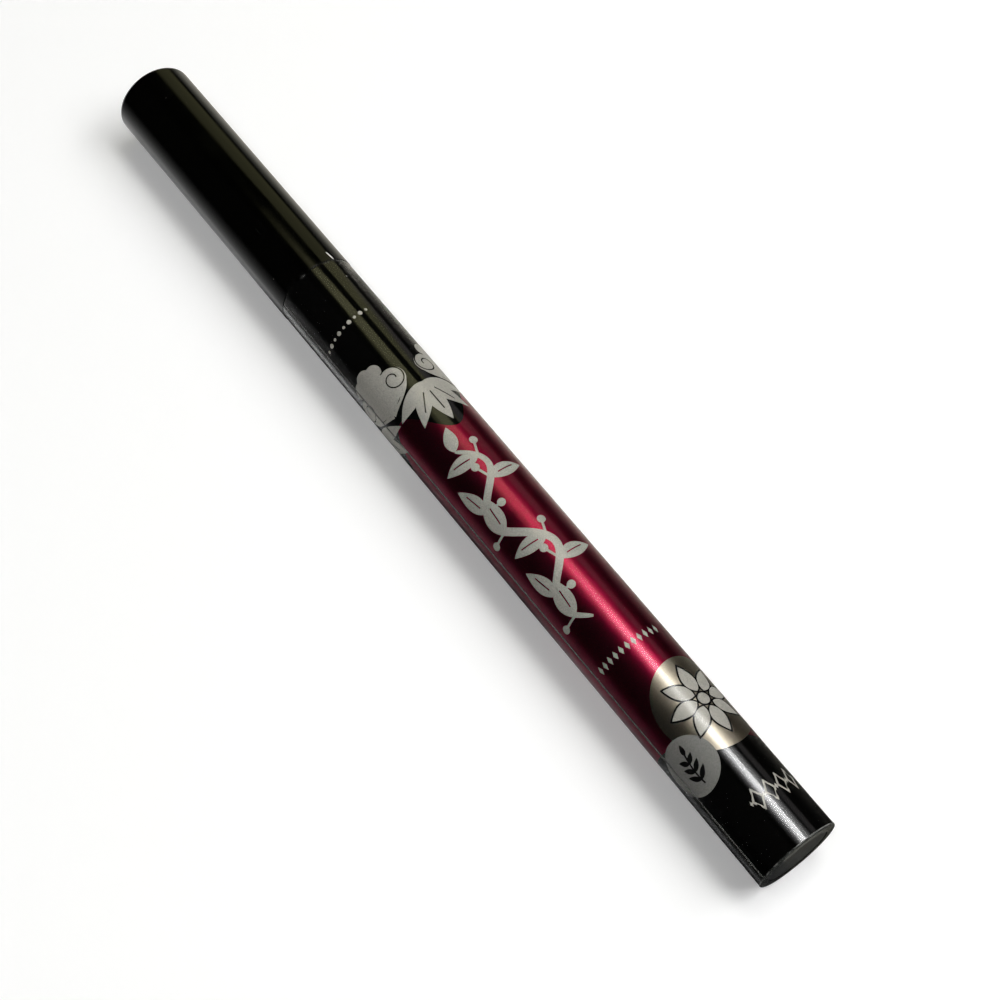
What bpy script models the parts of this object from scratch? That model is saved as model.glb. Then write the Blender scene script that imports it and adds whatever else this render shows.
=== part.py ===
"""Pen-shaped liquid eyeliner: pull-off cap, felt nib, fibre ink reservoir, barrel in clear film.

Lengths are in metres. The pen lies on its side along X, with its flat tail at +X and the closed
end of its cap at -X. The origin is the middle of its length, on the surface that it lies on.
Places along the pen are distances from the flat tail, and a turned piece is a list of
(distance from the tail, radius) points, outer side first.
"""

import math

import bmesh
import bpy

MM = 0.001

# Whole pen
PEN_LENGTH = 130.0 * MM  # flat tail to the closed end of the cap
PEN_DIAMETER = 10.5 * MM  # over the clear film, and over the cap, which is flush with it
CAP_LENGTH = 39.0 * MM  # closed end to mouth

# Clearances
FIT_GAP = 0.3 * MM  # between pieces that seat in or against each other
RUN_GAP = 0.15 * MM  # between the neck's bead and the cap's bore while the cap slides

# Clear film
FILM_THICKNESS = 0.15 * MM
FILM_CORNER = 0.45 * MM  # outer rounding where the film turns over the tail
FILM_LIP = 1.0 * MM  # how far the film reaches in over the flat tail

# Barrel and tail plug
BARREL_WALL = 0.9 * MM
BARREL_CHAMFER = 0.2 * MM
PLUG_HEAD = 1.2 * MM  # thickness of the disc that closes the tail
PLUG_DEPTH = 4.5 * MM  # length of the plug's skirt
PLUG_WALL = 0.7 * MM
PLUG_RIB = 0.6 * MM  # thickness of the crossed ribs that hold the reservoir off the tail

# Ink reservoir
RESERVOIR_ROOM = 8.2 * MM  # air space between the fibre and the nib section
WRAP_THICKNESS = 0.15 * MM  # film wound round the fibre
WICK_RADIUS = 0.6 * MM
WICK_SEAT = 16.0 * MM  # how deep the wick stands in the fibre

# Nib section
SPIGOT_LENGTH = 10.5 * MM  # part pressed into the barrel
SPIGOT_WALL = 0.9 * MM
NECK_LENGTH = 9.5 * MM  # part that carries the cap
NECK_CHAMFER = 0.4 * MM
BEAD_PLACE = 3.5 * MM  # from the cap's mouth to the snap bead
BEAD_WIDTH = 1.2 * MM
WEB_THICKNESS = 2.5 * MM  # wall between the hollow spigot and the nib's seat
NOSE_LENGTH = 6.0 * MM  # straight part that the cap's liner seals on
CONE_LENGTH = 6.0 * MM
TIP_WALL = 0.35 * MM  # wall at the small end of the cone
VENT_WIDTH = 0.5 * MM  # air groove along the spigot
VENT_DEPTH = 0.35 * MM

# Nib and its collar
NIB_RADIUS = 0.8 * MM
NIB_SHOW = 7.2 * MM  # length of felt that shows
NIB_TAPER = 5.6 * MM  # length of the pointed part
NIB_POINT = 0.12 * MM  # radius of the rounded point
NIB_CURVE = 1.5  # power of the taper's curve: 1 is a straight cone
NIB_SHANK = 10.0 * MM  # length of felt inside the section
COLLAR_LENGTH = 8.5 * MM
COLLAR_WALL = 0.35 * MM
COLLAR_SHOW = 0.4 * MM  # how far the collar stands out of the section

# Cap
CAP_WALL = 0.95 * MM
CAP_END = 1.2 * MM  # thickness of the closed end
CAP_CORNER = 0.7 * MM  # outer rounding of the closed end
CAP_LEAD = 0.25 * MM  # chamfer inside the mouth
LINER_WALL = 0.6 * MM
LINER_RIB = 0.25 * MM  # height of the ribs that grip the cap
LINER_RIB_WIDTH = 0.8 * MM
LINER_LEAD = 0.3 * MM  # chamfer inside the liner's mouth

# Counts
OUTER_SIDES = 64
INNER_SIDES = 40
SMALL_SIDES = 24
LINER_RIBS = 6
CORNER_STEPS = 5
BEAD_STEPS = 6
TAPER_STEPS = 8

# Shading and merging
SHARP_ANGLE = math.radians(30.0)
MERGE_DISTANCE = 0.001 * MM

# Radii, from the outside in
FILM_RADIUS = PEN_DIAMETER / 2
FILM_BORE = FILM_RADIUS - FILM_THICKNESS
FILM_LIP_BORE = FILM_RADIUS - FILM_LIP
BARREL_RADIUS = FILM_BORE - FIT_GAP
BARREL_BORE = BARREL_RADIUS - BARREL_WALL
PLUG_HEAD_RADIUS = FILM_LIP_BORE - FIT_GAP
SPIGOT_RADIUS = BARREL_BORE - FIT_GAP
SPIGOT_BORE = SPIGOT_RADIUS - SPIGOT_WALL
WRAP_RADIUS = BARREL_BORE - FIT_GAP
WRAP_BORE = WRAP_RADIUS - WRAP_THICKNESS
CORE_RADIUS = WRAP_BORE - FIT_GAP
WICK_HOLE = WICK_RADIUS + FIT_GAP
CAP_RADIUS = PEN_DIAMETER / 2
CAP_BORE = CAP_RADIUS - CAP_WALL
NECK_RADIUS = CAP_BORE - FIT_GAP
BEAD_HEIGHT = FIT_GAP - RUN_GAP
LINER_CREST = CAP_BORE - FIT_GAP
LINER_RADIUS = LINER_CREST - LINER_RIB
LINER_BORE = LINER_RADIUS - LINER_WALL
NOSE_RADIUS = LINER_BORE - FIT_GAP
COLLAR_BORE = NIB_RADIUS + FIT_GAP
COLLAR_RADIUS = COLLAR_BORE + COLLAR_WALL
COLLAR_SEAT = COLLAR_RADIUS + FIT_GAP
TIP_RADIUS = COLLAR_SEAT + TIP_WALL

# Places along the pen, as distances from the flat tail
CAP_MOUTH = PEN_LENGTH - CAP_LENGTH
BARREL_FRONT = CAP_MOUTH - FIT_GAP
BARREL_TAIL = FILM_THICKNESS + FIT_GAP
PLUG_SEAT = PLUG_HEAD + FIT_GAP
PLUG_FRONT = PLUG_HEAD + PLUG_DEPTH
SPIGOT_TAIL = BARREL_FRONT - SPIGOT_LENGTH
RESERVOIR_TAIL = PLUG_FRONT + FIT_GAP
RESERVOIR_FRONT = SPIGOT_TAIL - RESERVOIR_ROOM
NECK_FRONT = CAP_MOUTH + NECK_LENGTH
NOSE_FRONT = NECK_FRONT + NOSE_LENGTH
SECTION_FRONT = NOSE_FRONT + CONE_LENGTH
COLLAR_FRONT = SECTION_FRONT + COLLAR_SHOW
COLLAR_TAIL = COLLAR_FRONT - COLLAR_LENGTH
WEB_FRONT = COLLAR_TAIL - FIT_GAP
WEB_TAIL = WEB_FRONT - WEB_THICKNESS
NIB_TAIL = COLLAR_FRONT - NIB_SHANK
NIB_TIP = COLLAR_FRONT + NIB_SHOW
WICK_TAIL = RESERVOIR_FRONT - WICK_SEAT
WICK_FRONT = NIB_TAIL - FIT_GAP
LINER_MOUTH = NECK_FRONT + FIT_GAP
LINER_END = PEN_LENGTH - CAP_END - FIT_GAP

# The film's lowest facet lies flat on the surface
AXIS_HEIGHT = FILM_RADIUS * math.cos(math.pi / OUTER_SIDES)


def clear_scene():
    """Removes what the file holds at the start."""
    for item in list(bpy.data.objects):
        bpy.data.objects.remove(item, do_unlink=True)


def new_collection(name):
    """Returns a collection linked to the scene."""
    group = bpy.data.collections.new(name)
    bpy.context.scene.collection.children.link(group)
    return group


def new_material(name, colour, roughness, metallic=0.0, alpha=1.0):
    """Returns a Principled BSDF material with one colour."""
    material = bpy.data.materials.new(name)
    material.use_nodes = True
    shader = material.node_tree.nodes["Principled BSDF"]
    shader.inputs["Base Color"].default_value = (*colour, 1.0)
    shader.inputs["Roughness"].default_value = roughness
    shader.inputs["Metallic"].default_value = metallic
    shader.inputs["Alpha"].default_value = alpha
    return material


def new_axis(name, distance):
    """Returns an empty on the pen's axis, whose own Z points to the tail."""
    axis = bpy.data.objects.new(name, None)
    parts.objects.link(axis)
    axis.location = (PEN_LENGTH / 2 - distance, 0.0, AXIS_HEIGHT)
    axis.rotation_euler = (0.0, math.pi / 2, 0.0)
    axis["distance"] = distance
    return axis


def place(item, axis, distance, sides):
    """Parents an object to an axis at a distance from the tail, with a flat facet downwards."""
    item.parent = axis
    item.location = (0.0, 0.0, axis["distance"] - distance)
    item.rotation_euler = (0.0, 0.0, math.pi / sides)


def corner(distance, radius, size, start, end):
    """Returns points of a rounded corner about a centre; 0 degrees is outwards, 90 to the cap."""
    points = []
    for step in range(CORNER_STEPS + 1):
        angle = math.radians(start + (end - start) * step / CORNER_STEPS)
        points.append((distance + size * math.sin(angle), radius + size * math.cos(angle)))
    return points


def bump(distance, width, radius, height):
    """Returns points of a smooth ring, which stands up from an outer side or is sunk in a bore."""
    points = []
    for step in range(BEAD_STEPS + 1):
        share = step / BEAD_STEPS
        lift = height * math.sin(math.pi * share) ** 2
        points.append((distance + width * share, radius + lift))
    return points


def turned(name, outline, material, axis, sides, closed=True):
    """Returns a piece turned about the pen's axis.

    The outline runs along the outer side from the tail to the cap. Where closed is true it comes
    back along the bore to its start, and otherwise it starts and ends on the axis.
    """
    origin = min(distance for distance, _ in outline)
    mesh = bpy.data.meshes.new(name)
    points = [(radius, 0.0, origin - distance) for distance, radius in outline]
    edges = [(index, index + 1) for index in range(len(points) - 1)]
    if closed:
        edges.append((len(points) - 1, 0))
    mesh.from_pydata(points, edges, [])
    item = bpy.data.objects.new(name, mesh)
    parts.objects.link(item)
    screw = item.modifiers.new("turn", "SCREW")
    screw.axis = "Z"
    screw.angle = 2 * math.pi
    screw.steps = sides
    screw.render_steps = sides
    screw.use_merge_vertices = True
    screw.merge_threshold = MERGE_DISTANCE
    solid = bpy.data.meshes.new_from_object(item.evaluated_get(bpy.context.evaluated_depsgraph_get()))
    item.modifiers.clear()
    item.data = solid
    bpy.data.meshes.remove(mesh)
    solid.name = name
    solid.shade_smooth()
    solid.set_sharp_from_angle(angle=SHARP_ANGLE)
    solid.materials.clear()
    solid.materials.append(material)
    place(item, axis, origin, sides)
    return item


def block(name, size, axis, distance, angle, radius, width):
    """Returns a hidden bar along the pen, standing at an angle about its axis.

    Its size is (length, height), it is width wide, and its foot stands at the radius.
    """
    length, height = size
    mesh = bpy.data.meshes.new(name)
    shape = bmesh.new()
    bmesh.ops.create_cube(shape, size=1.0)
    bmesh.ops.scale(shape, vec=(height, width, length), verts=shape.verts)
    bmesh.ops.translate(shape, vec=(radius + height / 2, 0.0, -length / 2), verts=shape.verts)
    shape.to_mesh(mesh)
    shape.free()
    bar = bpy.data.objects.new(name, mesh)
    cutters.objects.link(bar)
    bar.parent = axis
    bar.location = (0.0, 0.0, axis["distance"] - distance)
    bar.rotation_euler = (0.0, 0.0, angle)
    bar.display_type = "WIRE"
    bar.hide_render = True
    return bar


def combine(item, tool, operation):
    """Adds a Boolean of one tool to a piece."""
    boolean = item.modifiers.new(tool.name, "BOOLEAN")
    boolean.operation = operation
    boolean.solver = "EXACT"
    boolean.object = tool


def make_film(axis):
    """Clear film over the barrel, turned in over the flat tail."""
    outline = [(0.0, FILM_LIP_BORE)]
    outline += corner(FILM_CORNER, FILM_RADIUS - FILM_CORNER, FILM_CORNER, -90.0, 0.0)
    outline += [
        (BARREL_FRONT, FILM_RADIUS),
        (BARREL_FRONT, FILM_BORE),
        (FILM_CORNER, FILM_BORE),
        (FILM_THICKNESS, FILM_RADIUS - FILM_CORNER),
        (FILM_THICKNESS, FILM_LIP_BORE),
    ]
    look = new_material("clear_film", (0.86, 0.86, 0.88), 0.08, alpha=0.25)
    turned("shrink_film", outline, look, axis, OUTER_SIDES)


def make_barrel(axis):
    """Printed tube that holds the reservoir, counterbored at the tail for the plug's disc."""
    outline = [
        (BARREL_TAIL, FILM_LIP_BORE),
        (BARREL_TAIL, BARREL_RADIUS - BARREL_CHAMFER),
        (BARREL_TAIL + BARREL_CHAMFER, BARREL_RADIUS),
        (BARREL_FRONT, BARREL_RADIUS),
        (BARREL_FRONT, BARREL_BORE),
        (PLUG_SEAT, BARREL_BORE),
        (PLUG_SEAT, FILM_LIP_BORE),
    ]
    look = new_material("crimson_foil", (0.23, 0.012, 0.055), 0.22, metallic=0.9)
    turned("barrel", outline, look, axis, OUTER_SIDES)


def make_plug(axis):
    """Cup that closes the tail, with crossed ribs that the reservoir stands on."""
    bore = SPIGOT_RADIUS - PLUG_WALL
    outline = [
        (0.0, 0.0),
        (0.0, PLUG_HEAD_RADIUS),
        (PLUG_HEAD, PLUG_HEAD_RADIUS),
        (PLUG_HEAD, SPIGOT_RADIUS),
        (PLUG_FRONT, SPIGOT_RADIUS),
        (PLUG_FRONT, bore),
        (PLUG_HEAD, bore),
        (PLUG_HEAD, 0.0),
    ]
    look = new_material("plug_grey", (0.045, 0.047, 0.05), 0.4)
    plug = turned("tail_plug", outline, look, axis, INNER_SIDES, closed=False)
    reach = bore + PLUG_WALL / 2
    for index in range(2):
        angle = math.pi / 2 * index
        size = (PLUG_DEPTH + PLUG_HEAD / 2, 2 * reach)
        rib = block(f"plug_rib_{index + 1}", size, axis, PLUG_HEAD / 2, angle, -reach, PLUG_RIB)
        combine(plug, rib, "UNION")


def make_reservoir(axis):
    """Fibre wad with a hole for the wick, and the film wound round it."""
    wrap = [
        (RESERVOIR_TAIL, WRAP_BORE),
        (RESERVOIR_TAIL, WRAP_RADIUS),
        (RESERVOIR_FRONT, WRAP_RADIUS),
        (RESERVOIR_FRONT, WRAP_BORE),
    ]
    look = new_material("wrap_film", (0.75, 0.74, 0.7), 0.2, alpha=0.5)
    turned("reservoir_wrap", wrap, look, axis, INNER_SIDES)
    hole_end = WICK_TAIL - FIT_GAP
    core = [
        (RESERVOIR_TAIL, 0.0),
        (RESERVOIR_TAIL, CORE_RADIUS),
        (RESERVOIR_FRONT, CORE_RADIUS),
        (RESERVOIR_FRONT, WICK_HOLE),
        (hole_end, WICK_HOLE),
        (hole_end, 0.0),
    ]
    look = new_material("inked_fibre", (0.02, 0.018, 0.02), 0.95)
    turned("ink_reservoir", core, look, axis, INNER_SIDES, closed=False)


def make_wick(axis):
    """Fibre rod that carries ink from the reservoir to the nib."""
    outline = [
        (WICK_TAIL, 0.0),
        (WICK_TAIL, WICK_RADIUS),
        (WICK_FRONT, WICK_RADIUS),
        (WICK_FRONT, 0.0),
    ]
    look = new_material("wick_fibre", (0.06, 0.055, 0.06), 0.9)
    turned("feed_wick", outline, look, axis, SMALL_SIDES, closed=False)


def make_section(axis):
    """Nib section: spigot in the barrel, neck for the cap, nose for the liner, cone for the nib."""
    outline = [(SPIGOT_TAIL, SPIGOT_BORE), (SPIGOT_TAIL, SPIGOT_RADIUS), (CAP_MOUTH, SPIGOT_RADIUS)]
    outline += [(CAP_MOUTH, NECK_RADIUS)]
    outline += bump(CAP_MOUTH + BEAD_PLACE, BEAD_WIDTH, NECK_RADIUS, BEAD_HEIGHT)
    outline += [
        (NECK_FRONT - NECK_CHAMFER, NECK_RADIUS),
        (NECK_FRONT, NECK_RADIUS - NECK_CHAMFER),
        (NECK_FRONT, NOSE_RADIUS),
        (NOSE_FRONT, NOSE_RADIUS),
        (SECTION_FRONT, TIP_RADIUS),
        (SECTION_FRONT, COLLAR_SEAT),
        (WEB_FRONT, COLLAR_SEAT),
        (WEB_FRONT, WICK_HOLE),
        (WEB_TAIL, WICK_HOLE),
        (WEB_TAIL, SPIGOT_BORE),
    ]
    look = new_material("section_black", (0.012, 0.012, 0.013), 0.35)
    section = turned("nib_section", outline, look, axis, INNER_SIDES)
    size = (SPIGOT_LENGTH, 2 * VENT_DEPTH)
    groove = block(
        "vent_groove", size, axis, SPIGOT_TAIL - VENT_DEPTH, math.pi, SPIGOT_RADIUS - VENT_DEPTH, VENT_WIDTH
    )
    combine(section, groove, "DIFFERENCE")


def make_collar(axis):
    """Small tube that grips the felt in the section's cone."""
    outline = [
        (COLLAR_TAIL, COLLAR_BORE),
        (COLLAR_TAIL, COLLAR_RADIUS),
        (COLLAR_FRONT, COLLAR_RADIUS),
        (COLLAR_FRONT, COLLAR_BORE),
    ]
    look = new_material("collar_black", (0.02, 0.02, 0.02), 0.3)
    turned("nib_collar", outline, look, axis, SMALL_SIDES)


def make_nib(axis):
    """Felt rod drawn to a fine rounded point."""
    shoulder = NIB_TIP - NIB_TAPER
    outline = [(NIB_TAIL, 0.0), (NIB_TAIL, NIB_RADIUS)]
    for step in range(TAPER_STEPS + 1):
        share = step / TAPER_STEPS
        radius = NIB_POINT + (NIB_RADIUS - NIB_POINT) * (1.0 - share**NIB_CURVE)
        outline.append((shoulder + (NIB_TAPER - NIB_POINT) * share, radius))
    outline.append((NIB_TIP, 0.0))
    look = new_material("felt", (0.03, 0.028, 0.03), 0.95)
    turned("nib", outline, look, axis, SMALL_SIDES, closed=False)


def make_cap(axis):
    """Cap shell, closed and rounded at its end, with a groove that snaps over the neck's bead."""
    outline = [(PEN_LENGTH - CAP_END, 0.0), (PEN_LENGTH - CAP_END, CAP_BORE)]
    outline += reversed(bump(CAP_MOUTH + BEAD_PLACE, BEAD_WIDTH, CAP_BORE, BEAD_HEIGHT))
    outline += [(CAP_MOUTH + CAP_LEAD, CAP_BORE), (CAP_MOUTH, CAP_BORE + CAP_LEAD)]
    outline += [(CAP_MOUTH, CAP_RADIUS)]
    outline += corner(PEN_LENGTH - CAP_CORNER, CAP_RADIUS - CAP_CORNER, CAP_CORNER, 0.0, 90.0)
    outline += [(PEN_LENGTH, 0.0)]
    look = new_material("cap_black", (0.012, 0.012, 0.011), 0.12)
    turned("cap_shell", outline, look, axis, OUTER_SIDES, closed=False)


def make_liner(axis):
    """Inner cap that seals on the nose, gripped in the shell by ribs."""
    outline = [
        (LINER_END - LINER_WALL, 0.0),
        (LINER_END - LINER_WALL, LINER_BORE),
        (LINER_MOUTH + LINER_LEAD, LINER_BORE),
        (LINER_MOUTH, LINER_BORE + LINER_LEAD),
        (LINER_MOUTH, LINER_RADIUS),
        (LINER_END, LINER_RADIUS),
        (LINER_END, 0.0),
    ]
    look = new_material("liner_natural", (0.72, 0.72, 0.69), 0.35)
    liner = turned("cap_liner", outline, look, axis, INNER_SIDES, closed=False)
    foot = LINER_RADIUS - LINER_WALL / 2
    size = (LINER_END - LINER_MOUTH - 2 * LINER_LEAD, LINER_CREST - foot)
    for index in range(LINER_RIBS):
        angle = 2 * math.pi * index / LINER_RIBS
        name = f"liner_rib_{index + 1}"
        rib = block(name, size, axis, LINER_MOUTH + LINER_LEAD, angle, foot, LINER_RIB_WIDTH)
        combine(liner, rib, "UNION")


clear_scene()
parts = new_collection("liquid_eyeliner")
cutters = new_collection("cutters")
pen_axis = new_axis("pen_axis", 0.0)
cap_axis = new_axis("cap_axis", CAP_MOUTH)
make_film(pen_axis)
make_barrel(pen_axis)
make_plug(pen_axis)
make_reservoir(pen_axis)
make_wick(pen_axis)
make_section(pen_axis)
make_collar(pen_axis)
make_nib(pen_axis)
make_cap(cap_axis)
make_liner(cap_axis)
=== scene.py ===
"""Looks of a pen-shaped liquid eyeliner: gloss cap, foil barrel with printed ornament, clear film.

Objects are in metres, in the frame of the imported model: the pen lies along X with its flat tail
at +X. Places on the pen are a distance from the flat tail, a radius, and an angle about the axis
from straight up, which grows towards -Y. Printed shapes are drawn flat, in millimetres, as
(distance from the tail, arc from straight up) points, and are then wrapped on the barrel.
"""

import logging
import math
import random
from collections.abc import Callable, Iterable, Sequence
from dataclasses import dataclass, field
from enum import Enum

import bpy
import numpy as np
from mathutils import Matrix, Vector
from mathutils.geometry import delaunay_2d_cdt

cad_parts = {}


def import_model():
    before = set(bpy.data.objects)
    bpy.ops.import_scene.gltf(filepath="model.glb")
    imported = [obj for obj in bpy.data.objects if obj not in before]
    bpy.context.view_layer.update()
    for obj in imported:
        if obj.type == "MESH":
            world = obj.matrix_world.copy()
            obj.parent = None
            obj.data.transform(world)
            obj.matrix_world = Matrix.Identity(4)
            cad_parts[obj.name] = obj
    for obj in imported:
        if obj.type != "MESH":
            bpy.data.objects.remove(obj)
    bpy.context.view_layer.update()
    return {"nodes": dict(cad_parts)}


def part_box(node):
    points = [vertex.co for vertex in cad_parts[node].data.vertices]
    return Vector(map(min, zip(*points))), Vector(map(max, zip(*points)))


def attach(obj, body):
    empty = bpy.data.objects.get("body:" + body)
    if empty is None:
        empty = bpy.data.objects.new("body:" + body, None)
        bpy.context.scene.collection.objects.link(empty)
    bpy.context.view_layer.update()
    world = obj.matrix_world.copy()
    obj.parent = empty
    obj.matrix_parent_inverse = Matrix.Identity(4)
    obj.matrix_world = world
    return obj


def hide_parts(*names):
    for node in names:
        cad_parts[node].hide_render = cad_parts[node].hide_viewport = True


LOG = logging.getLogger("eyeliner")
MM = 0.001

Point = tuple[float, float]
Place = tuple[float, float, float]
Socket = bpy.types.NodeSocket
Sockets = bpy.types.bpy_prop_collection
Tree = bpy.types.NodeTree
Colour = tuple[float, float, float]
Value = Socket | float
Tint = Colour | Socket
Outline = list[Point]

WHITE: Colour = (1.0, 1.0, 1.0)
# Black of the cap's gloss and of the print next to it
JET: Colour = (0.0006, 0.0006, 0.0005)
# What scratches and specks turn a dark surface to, and the colour of the painted glints on the film
SCUFF_AND_GLINT: Colour = (0.4, 0.4, 0.38)
# How fine the grain of the two metal foils is
FOIL_GRAIN = 5200.0
# How often the scroll border's motif stands round the pen, and the arc to the middle of one, in millimetres
MOTIFS = 3
MOTIF_MIDDLE = -1.0
# Edges between faces that meet at more than this stay sharp, in radians
SHARP = math.radians(32.0)
# How thick the plates of the painted glints on the cap and on the film are, in metres
PLATE = 0.02 * MM
# X over which the two cards overhead fade out, past the cap's end, in metres
CARD_END: Point = (-0.432, -0.416)


class Body(Enum):
    """The two bodies of the pen, by their names in the frame."""

    PEN = "pen"
    CAP = "cap"


class Side(Enum):
    """Which side of an ornament's middle line a shape stands on."""

    LEFT = 1.0
    RIGHT = -1.0


@dataclass(frozen=True)
class Span:
    """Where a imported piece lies: its two ends along the pen and its outer radius, in metres."""

    tail: float
    front: float
    radius: float


@dataclass(frozen=True)
class PenAxis:
    """The pen's own axis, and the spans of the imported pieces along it.

    Attributes:
        tail: X of the flat tail, in metres.
        height: Z of the axis, in metres.
        spans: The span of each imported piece, by its name.
    """

    tail: float
    height: float
    spans: dict[str, Span]

    @classmethod
    def read(cls, nodes: Iterable[str]) -> "PenAxis":
        """Reads the axis and the spans from the frame.

        Args:
            nodes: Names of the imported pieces.

        Returns:
            The axis with each piece's span.
        """
        low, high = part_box("shrink_film")
        tail = high.x
        spans = {}
        for name in nodes:
            start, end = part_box(name)
            spans[name] = Span(tail - end.x, tail - start.x, (end.z - start.z) / 2)
        return cls(tail, (low.z + high.z) / 2, spans)

    def point(self, distance: float, angle: float, radius: float) -> Place:
        """Returns a point of the pen in the frame.

        Args:
            distance: From the flat tail, in metres.
            angle: About the axis from straight up towards -Y, in radians.
            radius: From the axis, in metres.

        Returns:
            The point's coordinates.
        """
        return (
            self.tail - distance,
            -radius * math.sin(angle),
            self.height + radius * math.cos(angle),
        )


@dataclass
class Piece:
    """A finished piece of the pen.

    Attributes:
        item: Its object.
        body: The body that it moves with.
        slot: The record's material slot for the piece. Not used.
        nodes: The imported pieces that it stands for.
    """

    item: bpy.types.Object
    body: Body
    slot: str
    nodes: tuple[str, ...] = ()

    def hand_over(self) -> None:
        """Tells the frame what the piece rides on and stands for."""
        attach(self.item, self.body.value)
        if self.nodes:
            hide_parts(*self.nodes)
        faces = len(self.item.data.polygons)
        LOG.info("%s: %d faces, rides on %s", self.item.name, faces, self.body.value)


# Node trees


class Bench:
    """Adds nodes to one node tree and joins them."""

    def __init__(self, tree: Tree) -> None:
        """Starts on a tree."""
        self.tree = tree

    @classmethod
    def bare(cls, item: bpy.types.Object) -> "Bench":
        """Gives an object a material of its own name, and returns a bench on the material's empty tree."""
        made = bpy.data.materials.new(item.name)
        made.use_nodes = True
        made.node_tree.nodes.clear()
        item.data.materials.append(made)
        return cls(made.node_tree)

    def add(self, kind: str, values: dict | None = None, **settings: object) -> bpy.types.Node:
        """Adds a node.

        Args:
            kind: The node's type, without "ShaderNode".
            values: What its sockets take: a number, a tuple or another node's output.
            settings: Its own properties.

        Returns:
            The node.
        """
        node = self.tree.nodes.new("ShaderNode" + kind)
        for name, value in settings.items():
            setattr(node, name, value)
        self.fill(node, values or {})
        return node

    def fill(self, node: bpy.types.Node, values: dict) -> None:
        """Joins outputs to a node's sockets, or sets the sockets' own values."""
        for key, value in values.items():
            if isinstance(value, Socket):
                self.tree.links.new(value, node.inputs[key])
            else:
                node.inputs[key].default_value = value

    def math(self, operation: str, first: Value, *others: Value) -> Socket:
        """Returns the result of a sum on numbers or outputs, taken in turn."""
        for second in others or (0.0,):
            first = self.add("Math", {0: first, 1: second}, operation=operation).outputs[0]
        return first

    def times(self, *values: Value) -> Socket:
        """Returns the product of numbers and outputs."""
        return self.math("MULTIPLY", *values)

    def plus(self, *values: Value) -> Socket:
        """Returns the total of numbers and outputs."""
        return self.math("ADD", *values)

    def least(self, *values: Value) -> Socket:
        """Returns the smallest of numbers and outputs."""
        return self.math("MINIMUM", *values)

    def most(self, *values: Value) -> Socket:
        """Returns the largest of numbers and outputs."""
        return self.math("MAXIMUM", *values)

    def line(self, value: Socket, slope: float, start: Value) -> Socket:
        """Returns a value times a slope, plus a start."""
        return self.add("Math", {0: value, 1: slope, 2: start}, operation="MULTIPLY_ADD").outputs[0]

    def pick(self, side: Socket, first: Value, second: Value) -> Socket:
        """Returns the first value where a side is 0, and the second where it is 1."""
        return self.add("MapRange", {0: side, 3: first, 4: second}).outputs[0]

    def ramp(self, value: Socket, start: Value, end: Value, low: Value = 0.0, high: Value = 1.0) -> Socket:
        """Returns a value that goes smoothly from low to high as the input goes from start to end."""
        values = {0: value, 1: start, 2: end, 3: low, 4: high}
        return self.add("MapRange", values, interpolation_type="SMOOTHSTEP").outputs[0]

    def blend(self, share: Socket, first: Tint, second: Tint) -> Socket:
        """Returns a colour between two, by a share."""
        values = {0: share, 6: _rgba(first), 7: _rgba(second)}
        return self.add("Mix", values, data_type="RGBA").outputs[2]

    def bump(self, height: Socket, depth: float) -> Socket:
        """Returns the normal of a height from 0 to 1, where 1 stands as high as a depth in metres."""
        return self.add("Bump", {"Distance": depth, "Height": height}).outputs[0]

    def coordinates(self) -> Socket:
        """Returns the place on the piece, in metres."""
        return self.add("TexCoord").outputs["Object"]

    def axes(self) -> list[Socket]:
        """Returns X, Y and Z of the place on the piece, in metres."""
        return self.add("SeparateXYZ", {0: self.coordinates()}).outputs[:3]

    def noise(self, scale: Place, detail: float = 2.0) -> Socket:
        """Returns noise from 0 to 1 that has its own scale along each axis."""
        place = self.add("Mapping", {"Vector": self.coordinates(), "Scale": scale}).outputs[0]
        return self.add("TexNoise", {"Vector": place, "Scale": 1.0, "Detail": detail}).outputs[0]


def _rgba(colour: Tint) -> Sequence[float] | Socket:
    """Returns a colour with its alpha, or an output as it is."""
    return (*colour, 1.0) if isinstance(colour, tuple) and len(colour) == 3 else colour


def _grain(bench: Bench, given: Sockets) -> Socket:
    """Even fine noise, from 0 to 1 about its middle."""
    values = {"Vector": bench.coordinates(), "Scale": given["Scale"], "Detail": 3.0}
    noise = bench.add("TexNoise", values).outputs[0]
    middle = 0.5
    return bench.plus(bench.times(bench.math("SUBTRACT", noise, middle), given["Contrast"]), middle)


def _scratches(bench: Bench, given: Sockets) -> Socket:
    """Mask of hair-thin scratches that run along the pen."""
    lines = bench.ramp(bench.noise((130.0, 7000.0, 7000.0)), 0.66, 0.78)
    patches = bench.ramp(bench.noise((60.0, 240.0, 240.0)), 0.42, 0.66)
    return bench.times(lines, patches, given["Amount"])


def _dust(bench: Bench, given: Sockets) -> Socket:
    """Mask of a few pale specks."""
    cells = bench.add("TexVoronoi", {"Vector": bench.coordinates(), "Scale": given["Scale"]})
    near = bench.math("LESS_THAN", cells.outputs["Distance"], given["Size"])
    chosen = bench.add("SeparateColor", {0: cells.outputs["Color"]}).outputs[0]
    return bench.times(near, bench.ramp(chosen, 0.55, 0.8))


def _nearness(bench: Bench, along: Socket, place: Socket, reach: Socket) -> Socket:
    """Returns 1 at a place along the pen, and less and less up to a reach from it."""
    away = bench.math("ABSOLUTE", bench.math("SUBTRACT", along, place))
    return bench.ramp(bench.math("DIVIDE", away, reach), 0.0, 1.0, 1.0, 0.0)


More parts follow.
